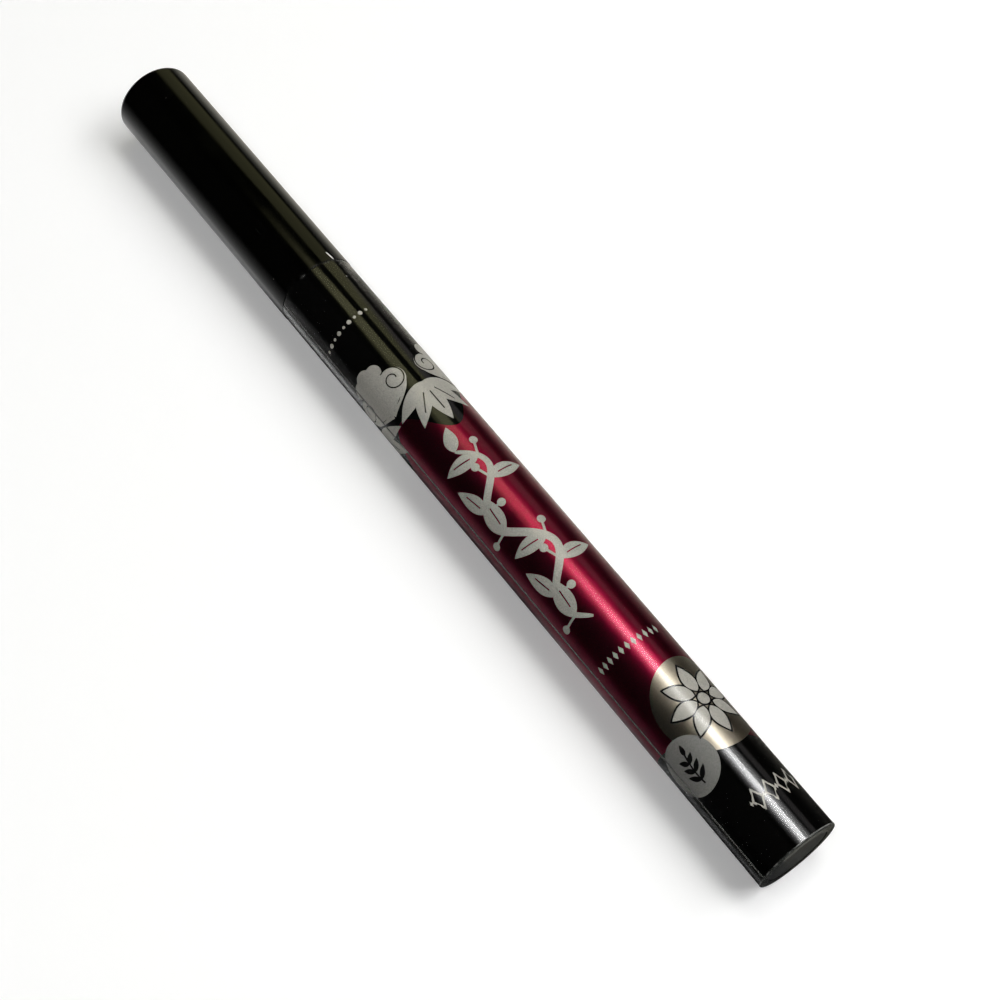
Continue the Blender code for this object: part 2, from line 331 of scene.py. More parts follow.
def _wear_and_highlight(bench: Bench, given: Sockets) -> Socket:
    """Mask that is strongest at a place along the pen and breaks up away from it."""
    near = _nearness(bench, bench.axes()[0], given["Place"], given["Width"])
    values = {"Vector": bench.coordinates(), "Scale": given["Breakup"], "Detail": 4.0}
    noise = bench.add("TexNoise", values).outputs[0]
    return bench.times(near, bench.ramp(noise, 0.42, 0.62))


def _ripple(bench: Bench, given: Sockets) -> Socket:
    """Height of a shrunk film: faint drawn lines, and waves on its upper side towards an end."""
    along, _, up = bench.axes()
    lines = bench.times(bench.noise((40.0, 1500.0, 1500.0)), given["Lines"])
    near = _nearness(bench, along, given["Place"], given["Reach"])
    upper = bench.ramp(up, 7.4 * MM, 9.0 * MM)
    waves = bench.times(bench.noise((320.0, 620.0, 620.0)), given["Waves"], near, upper)
    return bench.plus(lines, waves)


class EffectGroup(Enum):
    """Shader effects that several finishes share, each a node group made once.

    Each has its group's name, its number inputs with their defaults, its output and its builder.
    """

    GRAIN = ("Surface grain", {"Scale": 4000.0, "Contrast": 1.0}, "Value", _grain)
    SCRATCHES = ("Lengthwise scratches", {"Amount": 0.3}, "Mask", _scratches)
    DUST = ("Dust specks", {"Scale": 420.0, "Size": 0.03}, "Mask", _dust)
    # Also paints the highlight along the fold of the film's lip at the tail
    WEAR = ("Edge wear", {"Place": 0.0, "Width": 0.8 * MM, "Breakup": 900.0}, "Mask", _wear_and_highlight)
    RIPPLE = ("Film ripple", {"Lines": 0.15, "Place": 0.0, "Reach": 0.01, "Waves": 1.0}, "Height", _ripple)

    def tree(self) -> Tree:
        """Returns the effect's node group, which is built the first time."""
        name, inputs, output, build = self.value
        found = bpy.data.node_groups.get(name)
        if found:
            return found
        tree = bpy.data.node_groups.new(name, "ShaderNodeTree")
        for label, value in inputs.items():
            socket = tree.interface.new_socket(label, in_out="INPUT", socket_type="NodeSocketFloat")
            socket.default_value = value
        tree.interface.new_socket(output, in_out="OUTPUT", socket_type="NodeSocketFloat")
        result = build(Bench(tree), tree.nodes.new("NodeGroupInput").outputs)
        tree.links.new(result, tree.nodes.new("NodeGroupOutput").inputs[0])
        return tree

    def on(self, bench: Bench, **values: float) -> Socket:
        """Places the effect with its own values, and returns its result."""
        named = {key.capitalize(): value for key, value in values.items()}
        return bench.add("Group", named, node_tree=self.tree()).outputs[0]


# Finishes


@dataclass(frozen=True)
class Finish:
    """A finish with a Principled shader, whose values that are even all over are set on the shader.

    Attributes:
        name: The material's name.
        colour: Base colour.
        roughness: Roughness away from scratches and smudges.
    """

    name: str
    colour: Colour
    roughness: float

    def dress(self, bench: Bench) -> dict[str, Value]:
        """Returns what the shader's sockets take: a value that is even all over, or an output."""
        raise NotImplementedError

    def material(self) -> bpy.types.Material:
        """Returns the finish's material, which is made the first time."""
        found = bpy.data.materials.get(self.name)
        if found:
            return found
        made = bpy.data.materials.new(self.name)
        made.use_nodes = True
        bench = Bench(made.node_tree)
        shader = made.node_tree.nodes["Principled BSDF"]
        bench.fill(shader, {"Base Color": _rgba(self.colour), "Roughness": self.roughness})
        bench.fill(shader, self.dress(bench))
        return made

    def varied(self, bench: Bench, change: Socket, share: float) -> Socket:
        """Returns the colour, made darker and lighter by a share as a change goes from 0 to 1."""
        dark = tuple(part * (1.0 - share) for part in self.colour)
        light = tuple(min(1.0, part * (1.0 + share)) for part in self.colour)
        return bench.blend(change, dark, light)

    def smudged(self, bench: Bench, haze: float, start: float = 0.2, **grain: float) -> Socket:
        """Returns the roughness, raised by up to a haze where a coarse grain is strong."""
        smudge = EffectGroup.GRAIN.on(bench, **grain)
        return bench.ramp(smudge, start, 0.8, self.roughness, self.roughness + haze)


@dataclass(frozen=True)
class GlossMoulding(Finish):
    """Gloss plastic moulding with hair scratches, smudges and a little dust.

    Attributes:
        haze: How much smudges add to the roughness.
        dust: How much dust shows.
        wear_place: X of the edge that is worn.
        wear: How much the wear shows.
    """

    haze: float = 0.05
    dust: float = 0.35
    wear_place: float = 0.0
    wear: float = 0.0

    def dress(self, bench: Bench) -> dict[str, Value]:
        """Pale scratches and dust on the colour, haze on the roughness."""
        scratches = EffectGroup.SCRATCHES.on(bench, amount=0.12)
        specks = EffectGroup.DUST.on(bench, scale=420.0, size=0.028)
        worn = EffectGroup.WEAR.on(bench, place=self.wear_place, width=0.6 * MM)
        marks = ((scratches, 0.12), (specks, self.dust), (worn, self.wear))
        pale = bench.plus(*(bench.times(mark, share) for mark, share in marks))
        smudged = self.smudged(bench, self.haze, 0.3, scale=170.0, contrast=2.0)
        peel = EffectGroup.GRAIN.on(bench, scale=900.0, contrast=1.0)
        return {
            "IOR": 1.5,
            "Base Color": bench.blend(pale, self.colour, (0.3, 0.3, 0.28)),
            "Roughness": bench.plus(smudged, bench.times(scratches, 1.4)),
            "Normal": bench.bump(peel, 0.004 * MM),
        }


@dataclass(frozen=True)
class UnderFilm(Finish):
    """A printed or foiled surface that shows through the gloss of the film shrunk over it.

    Attributes:
        grain: How much fine grain lightens and darkens the colour.
        grain_scale: How fine the grain is.
        metallic: Share of metal.
        gloss: Weight of the film's gloss.
        tail: X of the pen's tail, where the film ripples most.
    """

    grain: float = 0.0
    grain_scale: float = 9000.0
    metallic: float = 0.0
    gloss: float = 1.0
    tail: float = 0.0

    def dress(self, bench: Bench) -> dict[str, Value]:
        """Grain and scratches on the colour, film ripples on the normal."""
        grain = EffectGroup.GRAIN.on(bench, scale=self.grain_scale, contrast=2.2)
        colour = self.varied(bench, bench.ramp(grain, 0.1, 0.9), self.grain)
        scratches = EffectGroup.SCRATCHES.on(bench, amount=0.3)
        specks = EffectGroup.DUST.on(bench, scale=520.0, size=0.02)
        pale = bench.plus(bench.times(scratches, 0.05), bench.times(specks, 0.1))
        smudged = self.smudged(bench, 0.05, scale=240.0, contrast=1.6)
        ripple = EffectGroup.RIPPLE.on(bench, lines=0.1, place=self.tail, reach=14 * MM, waves=0.9)
        return {
            "Metallic": self.metallic,
            "IOR": 1.5,
            "Coat Weight": self.gloss,
            "Coat Roughness": 0.06,
            "Coat IOR": 1.6,
            "Base Color": bench.blend(pale, colour, SCUFF_AND_GLINT),
            "Roughness": bench.plus(smudged, bench.times(scratches, 0.2)),
            "Normal": bench.bump(ripple, 0.03 * MM),
        }


@dataclass(frozen=True)
class ClearFilm(Finish):
    """Thin clear film: almost unseen where it lies flat, and cloudy at its cut edges and seam; on the tail's
    lip its pale edge band is a painted highlight along the fold.

    Attributes:
        clear: Alpha where the film lies flat.
        cloudy: Alpha where it is cut or folded; at the fold of the tail's lip this is a painted highlight.
        edge_place: X of the edge where it is cloudy.
        edge_width: How far the cloudiness reaches.
        pale: Colour where it is cut or folded; at the fold of the tail's lip this is a painted highlight.
        lines: Strength of its drawn lines.
        waves: Strength of its waves near the edge.
    """

    clear: float = 0.03
    cloudy: float = 0.4
    edge_place: float = 0.0
    edge_width: float = 0.6 * MM
    pale: Colour = (0.2, 0.2, 0.19)
    lines: float = 0.2
    waves: float = 1.0

    def dress(self, bench: Bench) -> dict[str, Value]:
        """Cloudiness on the alpha, scratches and ripples on the gloss."""
        edge = EffectGroup.WEAR.on(bench, place=self.edge_place, width=self.edge_width)
        scratches = EffectGroup.SCRATCHES.on(bench, amount=0.3)
        haze = bench.plus(edge, bench.times(scratches, 0.1))
        values = {"lines": self.lines, "place": self.edge_place, "reach": 6 * MM, "waves": self.waves}
        return {
            "IOR": 1.5,
            "Coat Weight": 1.0,
            "Coat Roughness": 0.05,
            "Coat IOR": 1.55,
            "Alpha": bench.ramp(haze, 0.0, 1.0, self.clear, self.cloudy),
            "Base Color": bench.blend(edge, self.colour, self.pale),
            "Roughness": self.smudged(bench, 0.05, scale=300.0, contrast=1.5),
            "Normal": bench.bump(EffectGroup.RIPPLE.on(bench, **values), 0.04 * MM),
        }


@dataclass(frozen=True)
class SeamFilm(ClearFilm):
    """Clear film that is whitened along one cut edge.

    Attributes:
        angle: Where the edge is about the pen's axis, in radians.
        height: Z of the axis.
        line: How wide the whitening is, in radians.
        width: How far the film goes on past the edge, in radians, fading out.
    """

    angle: float = 0.0
    height: float = 0.0
    line: float = math.radians(3.8)
    width: float = 0.0

    def dress(self, bench: Bench) -> dict[str, Value]:
        """A broken pale line along the edge, over the film's own gloss."""
        _, y, z = bench.axes()
        turn = bench.math("ARCTAN2", bench.times(y, -1.0), bench.math("SUBTRACT", z, self.height))
        past = bench.math("SUBTRACT", turn, self.angle)
        near = bench.ramp(past, self.line, 0.3 * self.line)
        flat = bench.ramp(past, 0.4 * self.width, self.width, self.clear, 0.0)
        broken = bench.ramp(bench.noise((260.0, 60.0, 60.0)), 0.25, 0.6, 0.85, 1.0)
        line = bench.times(near, broken)
        alpha = bench.ramp(line, 0.0, 1.0, flat, self.cloudy)
        colour = bench.blend(line, self.colour, self.pale)
        return {**super().dress(bench), "Alpha": alpha, "Base Color": colour}


@dataclass(frozen=True)
class SatinMoulding(Finish):
    """Moulded plastic with a fine even texture.

    Attributes:
        texture: Depth of the texture, in metres.
        clouding: How much the colour varies in soft patches.
    """

    texture: float = 0.01 * MM
    clouding: float = 0.15

    def dress(self, bench: Bench) -> dict[str, Value]:
        """Soft patches on the colour, a fine texture on the roughness and the normal."""
        patches = EffectGroup.GRAIN.on(bench, scale=260.0, contrast=2.0)
        colour = self.varied(bench, bench.ramp(patches, 0.2, 0.8), self.clouding)
        specks = EffectGroup.DUST.on(bench, scale=700.0, size=0.035)
        grain = EffectGroup.GRAIN.on(bench, scale=6000.0, contrast=1.5)
        spread = 0.06
        return {
            "Base Color": bench.blend(bench.times(specks, 0.2), colour, SCUFF_AND_GLINT),
            "Roughness": bench.ramp(grain, 0.2, 0.8, self.roughness - spread, self.roughness + spread),
            "Normal": bench.bump(grain, self.texture),
        }


@dataclass(frozen=True)
class Fibre(Finish):
    """Bonded or pressed fibre that runs along the pen, soaked in ink.

    Attributes:
        pale: Colour of the fibres that stand proud of the ink.
        share: How much of the pale colour shows.
        strands: How fine the fibres are, across the pen.
    """

    pale: Colour = (0.12, 0.11, 0.12)
    share: float = 0.5
    strands: float = 9000.0

    def dress(self, bench: Bench) -> dict[str, Value]:
        """Lengthwise strands on the colour and the normal."""
        fine = bench.noise((self.strands * 0.06, self.strands, self.strands), 3.0)
        strands = bench.ramp(fine, 0.35, 0.7)
        grain = EffectGroup.GRAIN.on(bench, scale=5000.0, contrast=1.2)
        return {
            "Sheen Weight": 0.25,
            "Sheen Roughness": 0.5,
            "Base Color": bench.blend(bench.times(strands, self.share), self.colour, self.pale),
            "Roughness": bench.ramp(grain, 0.0, 1.0, self.roughness - 0.1, self.roughness),
            "Normal": bench.bump(strands, 0.04 * MM),
        }


# Turned pieces


SIDES = 192


def rounded(centre: Point, size: float, start: float, end: float, steps: int = 5) -> Outline:
    """Returns points of a rounded corner of an outline.

    Args:
        centre: The rounding's middle, as (distance from the tail, radius).
        size: Its radius.
        start: Where it starts, in degrees: 0 is outwards, 90 to the cap, -90 to the tail.
        end: Where it ends, in degrees.
        steps: How many facets it has.

    Returns:
        The points, in order.
    """
    points = []
    for step in range(steps + 1):
        angle = math.radians(start + (end - start) * step / steps)
        points.append((centre[0] + size * math.sin(angle), centre[1] + size * math.cos(angle)))
    return points


def bent_over(start: float, radius: float, along: float, deep: float, steps: int = 8) -> Outline:
    """Returns points of a corner at a tail that is short along the pen and deep towards the axis."""
    turns = [math.pi / 2 * step / steps for step in range(steps + 1)]
    return [(start + along * (1 - math.cos(a)), radius - deep * (1 - math.sin(a))) for a in turns]


def bead(start: float, width: float, radius: float, height: float, steps: int = 10) -> Outline:
    """Returns points of a smooth ring that stands up from a radius, or is sunk in a bore."""
    points = []
    for step in range(steps + 1):
        share = step / steps
        points.append((start + width * share, radius + height * math.sin(math.pi * share) ** 2))
    return points


def between(start: Point, end: Point, share: float) -> Point:
    """Returns the point that lies a share of the way from a start to an end."""
    return (start[0] + (end[0] - start[0]) * share, start[1] + (end[1] - start[1]) * share)


def supported(outline: Outline, closed: bool, reach: float = 0.06 * MM) -> Outline:
    """Returns an outline with extra points near the ends of its long straights.

    They keep the shading of the straights even up to the roundings beside them.
    """
    made = []
    for start, end in zip(outline, outline[1:] + outline[:1] if closed else outline[1:]):
        made.append(start)
        length = math.dist(start, end)
        if length > 6 * reach:
            made += [between(start, end, share) for share in (reach / length, 1 - reach / length)]
    return made if closed else made + [outline[-1]]


def strip_section(steps: int, top: float, base: float) -> Outline:
    """Returns a thin strip's section, out along its top and back along its base.

    Args:
        steps: How many facets its top has.
        top: Radius of its top.
        base: Radius of its base.

    Returns:
        The points, each as (share of the width, radius).
    """
    shares = [step / steps for step in range(steps + 1)]
    return [(share, top) for share in shares] + [(share, base) for share in reversed(shares)]


def tube_faces(rings: int, sides: int, closed: bool = True) -> list[tuple[int, ...]]:
    """Returns the faces between rings of points.

    Args:
        rings: How many rings there are, one after the other.
        sides: How many points each has.
        closed: Whether the last ring is joined to the first.

    Returns:
        The four point numbers of each face.
    """
    faces = []
    for ring in range(rings if closed else rings - 1):
        here, there = ring * sides, (ring + 1) % rings * sides
        for side in range(sides):
            after = (side + 1) % sides
            faces.append((here + side, here + after, there + after, there + side))
    return faces


Shift = Callable[[float, float, float], float]


@dataclass
class Turner:
    """Makes turned pieces about the pen's axis.

    Attributes:
        axis: The pen's axis.
        sides: How many sides a round piece has.
    """

    axis: PenAxis
    sides: int = SIDES

    @property
    def turns(self) -> list[float]:
        """Angles of the points round a piece."""
        return [2 * math.pi * side / self.sides for side in range(self.sides)]

    def span(self, name: str) -> Span:
        """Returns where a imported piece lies."""
        return self.axis.spans[name]

    def turn(
        self, name: str, outline: Outline, finish: Finish, shift: Shift | None = None, closed: bool = True
    ) -> bpy.types.Object:
        """Returns a piece turned about the axis.

        Args:
            name: The piece's name.
            outline: Its section: the outer side towards the cap and, where closed is true, back
                along the bore. Otherwise both ends stand on the axis.
            finish: What it is dressed in.
            shift: Gives how far a point moves out, from its distance, its angle and its radius.
            closed: Whether the outline runs back to its start.

        Returns:
            The piece's object.
        """
        outline = supported(outline, closed)
        rings = outline if closed else outline[1:-1]
        vertices = []
        for distance, radius in rings:
            for angle in self.turns:
                lift = shift(distance, angle, radius) if shift else 0.0
                vertices.append(self.axis.point(distance, angle, radius + lift))
        faces = tube_faces(len(rings), self.sides, closed)
        if not closed:
            last = (len(rings) - 1) * self.sides
            for first, end, order in ((0, outline[0], -1), (last, outline[-1], 1)):
                middle = len(vertices)
                vertices.append(self.axis.point(end[0], 0.0, 0.0))
                for side in range(self.sides):
                    edge = (first + side, first + (side + 1) % self.sides)
                    faces.append((middle, *edge[::order]))
        return finished(name, vertices, faces, finish)


def placed(name: str, data: bpy.types.ID) -> bpy.types.Object:
    """Returns a new object in the scene, made of its data."""
    item = bpy.data.objects.new(name, data)
    bpy.context.scene.collection.objects.link(item)
    return item


def finished(name: str, vertices: Sequence, faces: Sequence, finish: Finish) -> bpy.types.Object:
    """Returns a mesh object with its faces out, its edges kept sharp and its finish on."""
    mesh = bpy.data.meshes.new(name)
    mesh.from_pydata(vertices, [], faces)
    mesh.validate()
    if signed_volume(mesh) < 0:
        mesh.flip_normals()
    mesh.shade_smooth()
    mesh.set_sharp_from_angle(angle=SHARP)
    mesh.materials.append(finish.material())
    return placed(name, mesh)


def signed_volume(mesh: bpy.types.Mesh) -> float:
    """Returns a closed mesh's volume, which is below zero where its faces point in."""
    mesh.calc_loop_triangles()
    places = np.zeros(len(mesh.vertices) * 3)
    mesh.vertices.foreach_get("co", places)
    places = places.reshape(-1, 3) - places.reshape(-1, 3).mean(0)
    corners = np.zeros(len(mesh.loop_triangles) * 3, dtype=np.int32)
    mesh.loop_triangles.foreach_get("vertices", corners)
    first, second, third = (places[corners[index::3]] for index in range(3))
    return float(np.einsum("ij,ij->i", first, np.cross(second, third)).sum() / 6)


# Printed shapes, drawn flat in millimetres


def circle(centre: Point, radius: float, steps: int = 56) -> Outline:
    """Returns a circle's points."""
    turns = [2 * math.pi * step / steps for step in range(steps)]
    return [(centre[0] + radius * math.cos(a), centre[1] + radius * math.sin(a)) for a in turns]


def leaf(foot: Point, heading: float, length: float, width: float, bend: float = 0.0) -> Outline:
    """Returns a pointed leaf's points.

    Args:
        foot: Where it starts.
        heading: Where it points, in degrees: 0 is to the cap, 90 to the left.
        length: Its length.
        width: Its greatest width.
        bend: How far its middle line turns aside at the tip, as a share of the length.

    Returns:
        The points, all round.
    """
    turn = math.radians(heading)
    steps = 16
    sides: dict[int, Outline] = {1: [], -1: []}
    for step in range(steps + 1):
        share = step / steps
        half = width / 2 * math.sin(math.pi * share**0.8) ** 0.9
        for sign, points in sides.items():
            along, across = length * share, length * bend * share**2 + sign * half
            x = foot[0] + along * math.cos(turn) - across * math.sin(turn)
            y = foot[1] + along * math.sin(turn) + across * math.cos(turn)
            points.append((x, y))
    return sides[1] + sides[-1][-2:0:-1]


def ribbon(line: Sequence[Point], widths: float | Sequence[float]) -> Outline:
    """Returns the outline of a stroke along a line, with a width at each of its points."""
    places = np.array(line)
    spread = np.full(len(places), widths) if isinstance(widths, float) else np.array(widths)
    ahead = np.gradient(places, axis=0)
    ahead /= np.linalg.norm(ahead, axis=1)[:, None]
    aside = np.stack([-ahead[:, 1], ahead[:, 0]], axis=1) * spread[:, None] / 2
    left, right = places + aside, places - aside
    return [tuple(p) for p in left] + [tuple(p) for p in right[::-1]]


def streak(start: Point, end: Point, width: float) -> Outline:
    """Returns a short stroke that is widest in its middle."""
    shares = [step / 6 for step in range(7)]
    widths = [width * (0.4 + 0.6 * math.sin(math.pi * share)) for share in shares]
    return ribbon([between(start, end, share) for share in shares], widths)


def spiral(centre: Point, start: float, end: float, turns: float, heading: float, side: Side) -> Outline:
    """Returns a line that winds out from a centre.

    Args:
        centre: The spiral's middle.
        start: Radius at its inner end.
        end: Radius at its outer end.
        turns: How far it winds, in turns.
        heading: Where its outer end stands, in degrees: 0 is to the cap, 90 to the left.
        side: Which way it winds.

    Returns:
        The line's points, from the inside out.
    """
    steps = max(12, int(40 * turns))
    points = []
    for step in range(steps + 1):
        share = step / steps
        radius = start + (end - start) * share**0.9
        angle = math.radians(heading) + 2 * math.pi * turns * (share - 1)
        points.append(
            (centre[0] + radius * math.cos(angle), centre[1] + side.value * radius * math.sin(angle))
        )
    return points


@dataclass
class Stencil:
    """A flat shape made of outlines that are added and outlines that are cut away.

    Attributes:
        added: Outlines whose insides are printed.
        cut: Outlines whose insides are left bare.
    """

    added: list[Outline] = field(default_factory=list)
    cut: list[Outline] = field(default_factory=list)

    def triangles(self, spacing: float) -> tuple[np.ndarray, np.ndarray]:
        """Cuts the shape into triangles that are small enough to lie on the barrel.

        Args:
            spacing: About how far apart the points inside the shape stand.

        Returns:
            The points, and three point numbers for each triangle.
        """
        points: Outline = []
        edges = []
        for outline in self.added + self.cut:
            first, count = len(points), len(outline)
            edges += [(first + i, first + (i + 1) % count) for i in range(count)]
            points += outline
        low, high = np.min(points, axis=0), np.max(points, axis=0)
        rows = np.arange(low[0] - spacing / 2, high[0] + spacing, spacing)
        columns = np.arange(low[1] - spacing / 2, high[1] + spacing, spacing)
        for index, row in enumerate(rows):
            offset = spacing / 2 * (index % 2)
            points += [(row, column + offset) for column in columns]
        result = delaunay_2d_cdt([Vector(point) for point in points], edges, [], 0, 1e-5)
        places = np.array([tuple(point) for point in result[0]])
        triangles = np.array([tuple(corners) for corners in result[2]])
        middles = places[triangles].mean(axis=1)
        printed = np.any([inside(middles, outline) for outline in self.added], axis=0)
        for outline in self.cut:
            printed &= ~inside(middles, outline)
        return places, triangles[printed]


def inside(points: np.ndarray, outline: Outline) -> np.ndarray:
    """Returns whether each point is inside an outline."""
    found = np.zeros(len(points), dtype=bool)
    x, y = points[:, 0], points[:, 1]
    for (x0, y0), (x1, y1) in zip(outline, outline[1:] + outline[:1]):
        if y0 == y1:
            continue
        crossing = x0 + (y - y0) / (y1 - y0) * (x1 - x0)
        found ^= ((y0 > y) != (y1 > y)) & (x < crossing)
    return found


@dataclass
class Printer:
    """Wraps flat shapes on the barrel as thin closed plates.

    Attributes:
        axis: The pen's axis.
        radius: Radius that the arcs are measured on, in metres.
        spacing: How far apart the points inside a plate stand, in millimetres.
    """

    axis: PenAxis
    radius: float
    spacing: float = 0.34

    def lay(self, name: str, stencil: Stencil, base: float, top: float, finish: Finish) -> bpy.types.Object:
        """Returns a plate of the stencil's shape between two radii.

        Args:
            name: The piece's name.
            stencil: Its shape.
            base: Radius of its underside, in metres.
            top: Radius of its printed side, in metres.
            finish: What it is dressed in.

        Returns:
            The plate's object.
        """
        flat, triangles = stencil.triangles(self.spacing)
        used = np.unique(triangles)
        number = {old: new for new, old in enumerate(used)}
        count = len(used)
        upper = [tuple(number[i] for i in corners) for corners in triangles]
        vertices = [self._wrapped(point, radius) for radius in (top, base) for point in flat[used]]
        edges = dict.fromkeys(edge for corners in upper for edge in zip(corners, corners[1:] + corners[:1]))
        faces = upper + [tuple(i + count for i in reversed(corners)) for corners in upper]
        faces += [(b, a, a + count, b + count) for a, b in edges if (b, a) not in edges]
        item = finished(name, vertices, faces, finish)
        self._round_normals(item.data)
        return item

    def _wrapped(self, point: Sequence[float], radius: float) -> Place:
        """Returns a flat point's place on the barrel."""
        return self.axis.point(point[0] * MM, point[1] * MM / self.radius, radius)

    def _round_normals(self, mesh: bpy.types.Mesh) -> None:
        """Gives the curved faces the barrel's own normals, so that reflections run straight."""
        normals = []
        for face in mesh.polygons:
            flat = face.normal.copy()
            for loop in face.loop_indices:
                place = mesh.vertices[mesh.loops[loop].vertex_index].co
                out = Vector((0.0, place.y, place.z - self.axis.height)).normalized()
                facing = flat.dot(out)
                curved = abs(facing) > 0.9
                normals.append(out * math.copysign(1.0, facing) if curved else flat)
        mesh.normals_split_custom_set(normals)


# Sub-assemblies


@dataclass
class Levels:
    """Radii of the layers under the film, in metres, from the film in."""

    film: float
    film_wall: float = 0.012 * MM
    slack: float = 0.003 * MM
    step: float = 0.01 * MM
    count: int = 4

    def layer(self, number: int) -> float:
        """Returns a print layer's top: 0 is the black barrel, and higher numbers lie over it."""
        return self.film - self.film_wall - self.slack - self.step * (self.count - number)


@dataclass
class CapAssembly:
    """Gloss cap and the inner cap in it.

    Sizes are in metres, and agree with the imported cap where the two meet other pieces.
    """

    turner: Turner
    printer: Printer
    wall: float = 0.95 * MM
    end_wall: float = 1.2 * MM
    corner: float = 0.75 * MM
    mouth_round: float = 0.05 * MM
    groove_start: float = 3.5 * MM
    groove_width: float = 1.2 * MM
    groove_depth: float = 0.15 * MM
    liner_wall: float = 0.6 * MM
    liner_rib: float = 0.25 * MM
    liner_ribs: int = 6
    rib_width: float = 0.8 * MM
    liner_lip: float = 0.25 * MM

    def build(self) -> list[Piece]:
        """Returns the cap's pieces."""
        return [self.shell(), self.liner(), self.painted_cap_glint()]

    def shell(self) -> Piece:
        """Closed gloss tube, rounded at its end, with a groove inside the mouth."""
        span = self.turner.span("cap_shell")
        bore = span.radius - self.wall
        inside = span.front - self.end_wall
        soft, lip = 0.3 * MM, self.mouth_round
        outline = [(inside, 0.0), (inside, bore - soft)]
        outline += rounded((inside - soft, bore - soft), soft, 90.0, 0.0)[1:]
        outline += reversed(bead(span.tail + self.groove_start, self.groove_width, bore, self.groove_depth))
        outline += rounded((span.tail + lip, bore + lip), lip, 180.0, 270.0)
        outline += rounded((span.tail + lip, span.radius - lip), lip, -90.0, 0.0)
        length = span.front - span.tail
        outline += [(span.tail + length * share, span.radius) for share in (0.2, 0.4, 0.6, 0.8)]
        centre = (span.front - self.corner, span.radius - self.corner)
        outline += rounded(centre, self.corner, 0.0, 90.0, steps=12)
        outline += [(span.front, span.radius * 0.5), (span.front, 0.0)]
        mouth = self.turner.axis.tail - span.tail
        finish = GlossMoulding("cap gloss black", JET, 0.09, wear_place=mouth, wear=0.02)
        item = self.turner.turn("gloss_cap", outline, finish, closed=False)
        return Piece(item, Body.CAP, "cap_black", ("cap_shell",))

    def liner(self) -> Piece:
        """Inner cap of uncoloured plastic, with ribs that grip the shell."""
        span = self.turner.span("cap_liner")
        crest = span.radius
        outer = crest - self.liner_rib
        bore = outer - self.liner_wall
        lip = self.liner_lip
        inside = span.front - self.liner_wall
        outline = [(inside, 0.0), (inside, bore)]
        outline += rounded((span.tail + lip, bore + lip), lip, 180.0, 270.0)
        outline += [(span.tail, outer), (span.tail + 1.4 * lip, outer), (span.tail + 2 * lip, outer)]
        outline += [(span.front - 2 * lip, outer), (span.front - 1.4 * lip, outer)]
        outline += [(span.front, outer), (span.front, 0.0)]

        def ribs(distance: float, angle: float, radius: float) -> float:
            """Lifts the outer wall into ribs away from the liner's two ends."""
            inner = radius < outer - 0.01 * MM
            if inner or not span.tail + 1.5 * lip < distance < span.front - 1.5 * lip:
                return 0.0
            pitch = 2 * math.pi / self.liner_ribs
            aside = abs((angle + pitch / 2) % pitch - pitch / 2) * outer
            return self.liner_rib if aside < self.rib_width / 2 else 0.0

        finish = SatinMoulding("liner natural plastic", (0.62, 0.62, 0.57), 0.36, clouding=0.06)
        item = self.turner.turn("inner_cap", outline, finish, ribs, closed=False)
        return Piece(item, Body.CAP, "liner_natural", ("cap_liner",))

    def painted_cap_glint(self) -> Piece:
        """Painted highlight on the cap beside its mouth: a pale plate that stands in for a glint in its
        gloss.
        """
        stencil = Stencil([streak((92.4, -2.76), (91.06, -3.0), 0.26)])
        # Near-white, almost opaque plate on the black cap: a painted glint
        finish = ClearFilm("cap nick", (0.85, 0.86, 0.82), 0.2, clear=0.97, cloudy=1.0)
        top = self.turner.span("cap_shell").radius + 0.01 * MM
        item = self.printer.lay("cap_painted_glint", stencil, top - PLATE, top, finish)
        return Piece(item, Body.CAP, "cap_black")


